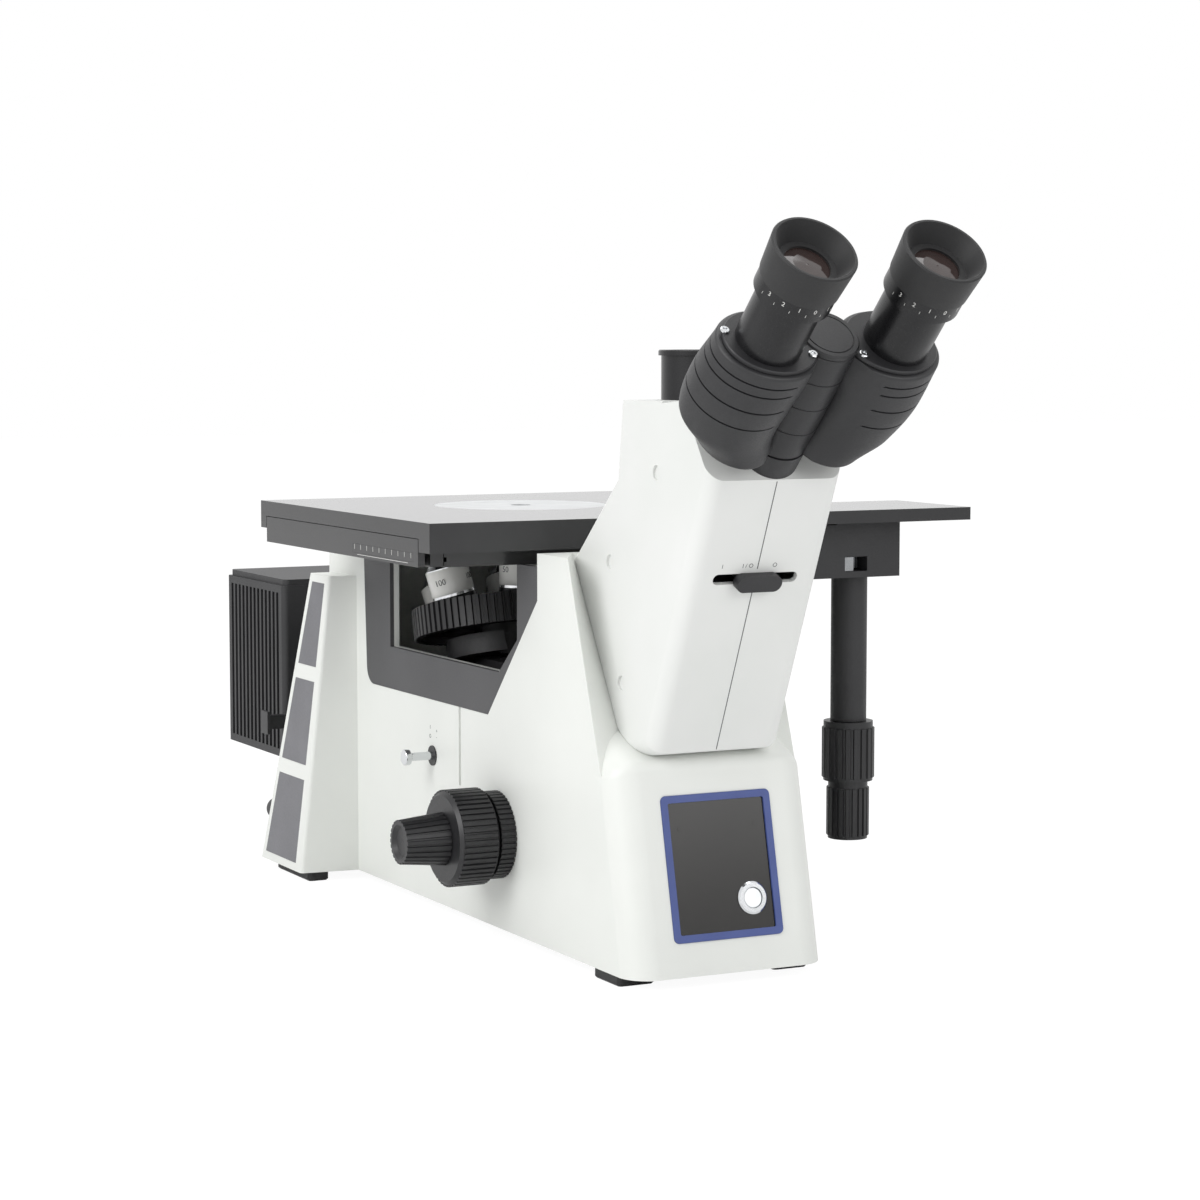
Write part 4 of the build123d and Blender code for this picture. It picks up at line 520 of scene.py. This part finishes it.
coverPlates = {
    "inset": 2.6, "footInset": 0.8, "footHeight": 0.5, "height": 2.5, "bevel": 0.5, "innerEdge": 9.075,
    "segments": 96, "screws": ((-57.3, 3.1), (-14.6, -13.4)), "screwSegments": 24,
    "screw": ((2.4, 2.5), (2.4, 3.2), (2.0, 3.5), (1.2, 3.5), (1.08, 3.0))}


def coverPlate(side, body):
    height, width, depth, x, y = housingRing(0.0)
    outlines = (  # height, and how far the outline stands in from the housing's
        (0.0, coverPlates["inset"] + coverPlates["footInset"]),
        (coverPlates["footHeight"], coverPlates["inset"] + coverPlates["footInset"]),
        (coverPlates["footHeight"], coverPlates["inset"]),
        (coverPlates["height"] - coverPlates["bevel"], coverPlates["inset"]),
        (coverPlates["height"], coverPlates["inset"] + coverPlates["bevel"]))
    plate = ringPiece([(level, width - inset, depth - inset, x, y) for level, inset in outlines],
                      segments=coverPlates["segments"])
    startEdit()
    bpy.ops.mesh.bisect(plane_co=(-coverPlates["innerEdge"] / 1000, 0, 0), plane_no=(1, 0, 0),
                        use_fill=True, clear_outer=True)
    endEdit()
    if side > 0:
        mirrorPiece(plate)
    word = "left" if side < 0 else "right"
    finishPiece(plate, word + "CoverPlate", eyePlace, "grainedAbsBlack", body)
    for number, (screwX, screwY) in enumerate(coverPlates["screws"]):
        screw = turnedPiece(coverPlates["screw"], segments=coverPlates["screwSegments"])
        place = eyePlace @ shifted(screwX if side < 0 else -screwX, screwY, 0)
        finishPiece(screw, f"{word}CoverScrew{number + 1}", place, "polishedChrome", body)


for side in (-1, 1):
    coverPlate(side, prismHousing(side))
hinge = joinPieces([turnedPiece(eyeHead["base"]), turnedPiece(eyeHead["cap"])])
head = finishPiece(hinge, "hingeBase", eyePlace, "grainedAbsBlack", "frame")
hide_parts("binocular_base")
print("eyepiece head made")

# Eyepieces: printed scale on each diopter ring, and a thin bright rim round each lens.

eyepiece = {
    "ringRadius": 20.0, "inkProud": 0.02, "marks": 15, "middleMark": 7, "firstDegrees": -170,
    "stepDegrees": 12, "digitSize": 3.4, "digitHeight": 42.2, "tickSize": 2.2, "tickHeight": 39.4,
    "rim": ((12.6, 50.0), (13.6, 50.6), (13.6, 51.0), (12.4, 51.0)), "rimSegments": 64}


def ringMarks(side, body):
    centre = eyePlace @ shifted(side * eyeHead["halfSpacing"], -eyeHead["drop"], 0)
    marks = []
    for index in range(eyepiece["marks"]):
        isDigit = index % 2 == 1
        text = str(abs(index - eyepiece["middleMark"]) // 2) if isDigit else "I"
        marks.append(printedRound(
            text, eyepiece["digitSize"] if isDigit else eyepiece["tickSize"], centre,
            eyepiece["firstDegrees"] + index * eyepiece["stepDegrees"],
            eyepiece["ringRadius"] + eyepiece["inkProud"],
            eyepiece["digitHeight"] if isDigit else eyepiece["tickHeight"]))
    word = "left" if side < 0 else "right"
    finishPiece(joinPieces(marks), word + "RingScale", Matrix.Identity(4), "printedInkWhite", body)
    rim = turnedPiece(eyepiece["rim"], segments=eyepiece["rimSegments"])
    finishPiece(rim, word + "LensRim", centre, "brushedAluminiumBright", body)


ringMarks(-1, "left_eyepiece")
ringMarks(1, "right_eyepiece")

# Objectives: white lacquer bands with generic numbers, and black grip rings.

objectives = {
    "tiltDegrees": 14, "turretY": 33.0, "turretZ": 179.0, "count": 5, "radius": 13.0, "length": 34.0,
    "shorter": (0, 2, 5, 9, 3), "power": ("50", "20", "10", "5", "100"), "powerSize": 5,
    "powerDegrees": (20, 110, 200, 290), "powerShare": 0.45, "inkProud": 0.13,
    "bandLow": 6.0, "bandShare": 0.7, "bandBevel": 0.3, "bandEdge": 0.02, "bandProud": 0.12,
    "grip": ((13.1, 0.4), (13.3, 0.7), (13.3, 4.2), (13.1, 4.5))}
turretTilt = math.radians(objectives["tiltDegrees"])
turretAxis = Vector((0, math.sin(turretTilt), math.cos(turretTilt)))
# All objectives lean towards one point below, the apex of the turret's cone.
apexDistance = objectives["turretY"] / math.cos(turretTilt) / math.sin(turretTilt) / 1000
turretCentre = fromAxis(0, objectives["turretY"], objectives["turretZ"])
apex = turretCentre - turretAxis * apexDistance * math.cos(turretTilt)
for index in range(objectives["count"]):
    spin = Matrix.Rotation(2 * math.pi * index / objectives["count"], 3, turretAxis)
    axis = spin @ Vector((0, 0, 1))
    place = placeAlong(apex + axis * apexDistance, spin @ Vector((1, 0, 0)), axis)
    length = objectives["length"] - objectives["shorter"][index]
    radius = objectives["radius"]
    low, high = objectives["bandLow"], length * objectives["bandShare"]
    edge, proud = radius + objectives["bandEdge"], radius + objectives["bandProud"]
    bevel = objectives["bandBevel"]
    band = turnedPiece([(edge, low), (proud, low + bevel), (proud, high - bevel), (edge, high)])
    finishPiece(band, f"objectiveBand{index + 1}", place, "lacquerWhite", "revolver")
    grip = turnedPiece(objectives["grip"])
    finishPiece(grip, f"objectiveGrip{index + 1}", place, "satinAnodisedBlack", "revolver")
    words = [
        printedRound(objectives["power"][index], objectives["powerSize"], place, degrees,
                     radius + objectives["inkProud"], length * objectives["powerShare"])
        for degrees in objectives["powerDegrees"]]
    finishPiece(joinPieces(words), f"objectivePower{index + 1}", Matrix.Identity(4), "printedInkGrey",
                "revolver")
print("objectives dressed")

# Line down the front of the head where its two shells meet, parted where the selector slides.

headFront = {
    "topY": -304.5, "topZ": 269.0, "chinY": -241.0, "chinZ": 122.0, "seamWidth": 0.6, "seamProud": 0.02,
    "seamDepth": 0.2, "seamEnd": 1.0, "selectorFrom": 51.1, "selectorTo": 62.1}
headRun = Vector((0, headFront["topY"] - headFront["chinY"], headFront["topZ"] - headFront["chinZ"]))
headOut = Vector((0, -headRun.z, headRun.y)).normalized()
headPlace = placeAlong(fromAxis(0, headFront["topY"], headFront["topZ"]), (1, 0, 0), headOut)
seams = []
for high, low in ((headFront["seamEnd"], headFront["selectorFrom"]),
                  (headFront["selectorTo"], headRun.length - headFront["seamEnd"])):
    bpy.ops.object.select_all(action="DESELECT")
    bpy.ops.mesh.primitive_plane_add(size=0.001, location=(0, 0, 0))
    startEdit()
    bpy.ops.transform.resize(value=(headFront["seamWidth"], low - high, 1), center_override=(0, 0, 0))
    bpy.ops.transform.translate(value=Vector((0, -(low + high) / 2, headFront["seamProud"])) / 1000)
    bpy.ops.mesh.extrude_region_move(
        TRANSFORM_OT_translate={"value": (0, 0, -headFront["seamDepth"] / 1000)})
    endEdit()
    seams.append(bpy.context.object)
finishPiece(joinPieces(seams), "headSeam", headPlace, "printedInkGrey", "frame")

# Small printed signs, all generic: beside the push rod, and over the selector.

signs = {
    "size": 3.4, "wallX": -59.53, "selectorY": -49.2, "selectorProud": 0.03,
    "rod": (("rodSignUpper", "I", 0.8, 110.0), ("rodSignLower", "O", 0.8, 104.6),
            ("rodSignRight", "+", -8.6, 108.5), ("rodSignRightLow", "-", -8.6, 105.0)),
    "selector": (("selectorSignLeft", "I", -21.0), ("selectorSignMiddle", "I / O", -6.0),
                 ("selectorSignRight", "O", 10.0))}


def onLeftSide(x, y, z):  # place of print on a wall that faces left
    return placeAlong(fromAxis(x, y, z), (0, -1, 0), (-1, 0, 0))


for name, text, y, z in signs["rod"]:
    sign = printed(text, signs["size"], onLeftSide(signs["wallX"], y, z))
    finishPiece(sign, name, Matrix.Identity(4), "printedInkGrey", "frame")
for name, text, x in signs["selector"]:
    place = headPlace @ shifted(x, signs["selectorY"], signs["selectorProud"])
    sign = printed(text, signs["size"], place)
    finishPiece(sign, name, Matrix.Identity(4), "printedInkGrey", "frame")

# Ticks and the white line of the travel scale on the stage's left end.

travelScale = {
    "faceX": -121.33, "rearY": -34.0, "frontY": -115.0, "ticks": 10, "tickSize": 4.2, "tickZ": 221.7,
    "lineStrokes": 26, "lineSize": 5.6, "lineY": -74.5, "lineZ": 219.8}
ticks = []
for index in range(travelScale["ticks"]):
    share = index / (travelScale["ticks"] - 1)
    y = travelScale["rearY"] + (travelScale["frontY"] - travelScale["rearY"]) * share
    ticks.append(printed("I", travelScale["tickSize"],
                         onLeftSide(travelScale["faceX"], y, travelScale["tickZ"])))
ticks.append(printed("_" * travelScale["lineStrokes"], travelScale["lineSize"],
                     onLeftSide(travelScale["faceX"], travelScale["lineY"], travelScale["lineZ"])))
finishPiece(joinPieces(ticks), "travelTicks", Matrix.Identity(4), "printedInkWhite", "carriage")
print("signs and small pieces made")

# Camera at the photograph's angle, then the studio, the floor and the lamps.

camera = {
    "place": (-772.0, -1625.7, 342.9), "azimuth": 26.914, "down": 5.063, "focalPixels": 3004.8,
    "photoPixels": 1200, "sensorMm": 36.0, "near": 0.05, "far": 50}
lens = bpy.data.cameras.new("camera")
lens.sensor_width = camera["sensorMm"]
lens.lens = camera["focalPixels"] / camera["photoPixels"] * lens.sensor_width
lens.clip_start = camera["near"]
lens.clip_end = camera["far"]
viewpoint = bpy.data.objects.new("camera", lens)
bpy.context.scene.collection.objects.link(viewpoint)
viewpoint.location = fromAxis(*camera["place"])
viewpoint.rotation_euler = (math.radians(90 - camera["down"]), 0, math.radians(-camera["azimuth"]))
bpy.context.scene.camera = viewpoint
bpy.context.scene.view_settings.view_transform = "Standard"

studio = {
    "white": (1, 1, 1, 1), "light": 0.52, "shown": 1.0, "floorSize": 16, "floorGlow": 1.1,
    "floorGlowShare": 0.86, "fibreMm": 4, "paperDark": "#F4F4F4", "paperLight": "#F8F8F8"}
world = bpy.data.worlds.new("studio")
bpy.context.scene.world = world
world.use_nodes = True
world.node_tree.nodes.clear()
# The camera, gloss and glass see plain white, and the object is lit at a lower level.
rays = addNode(world, "ShaderNodeLightPath")
soft = addNode(world, "ShaderNodeBackground", {"Color": studio["white"], "Strength": studio["light"]})
shown = addNode(world, "ShaderNodeBackground", {"Color": studio["white"], "Strength": studio["shown"]})
seen = addNode(world, "ShaderNodeMath", {"operation": "MAXIMUM"},
               {0: rays.outputs["Is Camera Ray"], 1: rays.outputs["Is Glossy Ray"]})
seenToo = addNode(world, "ShaderNodeMath", {"operation": "MAXIMUM"},
                  {0: seen.outputs[0], 1: rays.outputs["Is Transmission Ray"]})
blend = addNode(world, "ShaderNodeMixShader", {}, {
    "Fac": seenToo.outputs[0], 1: soft.outputs[0], 2: shown.outputs[0]})
addNode(world, "ShaderNodeOutputWorld", {}, {"Surface": blend.outputs[0]})

bpy.ops.object.select_all(action="DESELECT")
bpy.ops.mesh.primitive_plane_add(size=studio["floorSize"], location=(0, 0, 0))
floor = bpy.context.object
floor.name = "floor"
# Matt white paper that glows for the camera alone, so that it meets the background with no edge.
floorPaper, floorShader = newMaterial("studioPaperWhite", {"Roughness": 0.95, "Specular IOR Level": 0.1})
paperFibre = grain(floorPaper, studio["fibreMm"], detail=2.0)
setInput(floorPaper, floorShader, "Base Color",
         mixColors(floorPaper, paperFibre, hexColor(studio["paperDark"]), hexColor(studio["paperLight"])))
paperRays = addNode(floorPaper, "ShaderNodeLightPath")
paperGlow = addNode(floorPaper, "ShaderNodeEmission", {
    "Color": studio["white"], "Strength": studio["floorGlow"]})
paperShare = addNode(floorPaper, "ShaderNodeMath", {"operation": "MULTIPLY", 1: studio["floorGlowShare"]},
                     {0: paperRays.outputs["Is Camera Ray"]})
paperMix = addNode(floorPaper, "ShaderNodeMixShader", {}, {
    "Fac": paperShare.outputs[0], 1: floorShader.outputs[0], 2: paperGlow.outputs[0]})
setInput(floorPaper, floorPaper.node_tree.nodes["Material Output"], "Surface", paperMix.outputs[0])
floor.data.materials.append(floorPaper)

lamps = {
    "keyLeft": {"place": (-2.6, -0.6, 1.7), "size": (1.8, 1.8), "watts": 46},
    "fillFront": {"place": (0.9, -2.8, 1.5), "size": (2.0, 1.6), "watts": 20},
    "top": {"place": (0.2, 0.4, 2.6), "size": (2.2, 2.2), "watts": 26}}
lampAim = Vector((0, 0, 0.2))
for name, settings in lamps.items():
    light = bpy.data.lights.new(name, "AREA")
    light.shape = "RECTANGLE"
    light.size, light.size_y = settings["size"]
    light.energy = settings["watts"]
    lamp = bpy.data.objects.new(name, light)
    bpy.context.scene.collection.objects.link(lamp)
    lamp.location = settings["place"]
    aim = lampAim - lamp.location
    lamp.rotation_euler = aim.to_track_quat("-Z", "Y").to_euler()
print("camera, floor and light set")
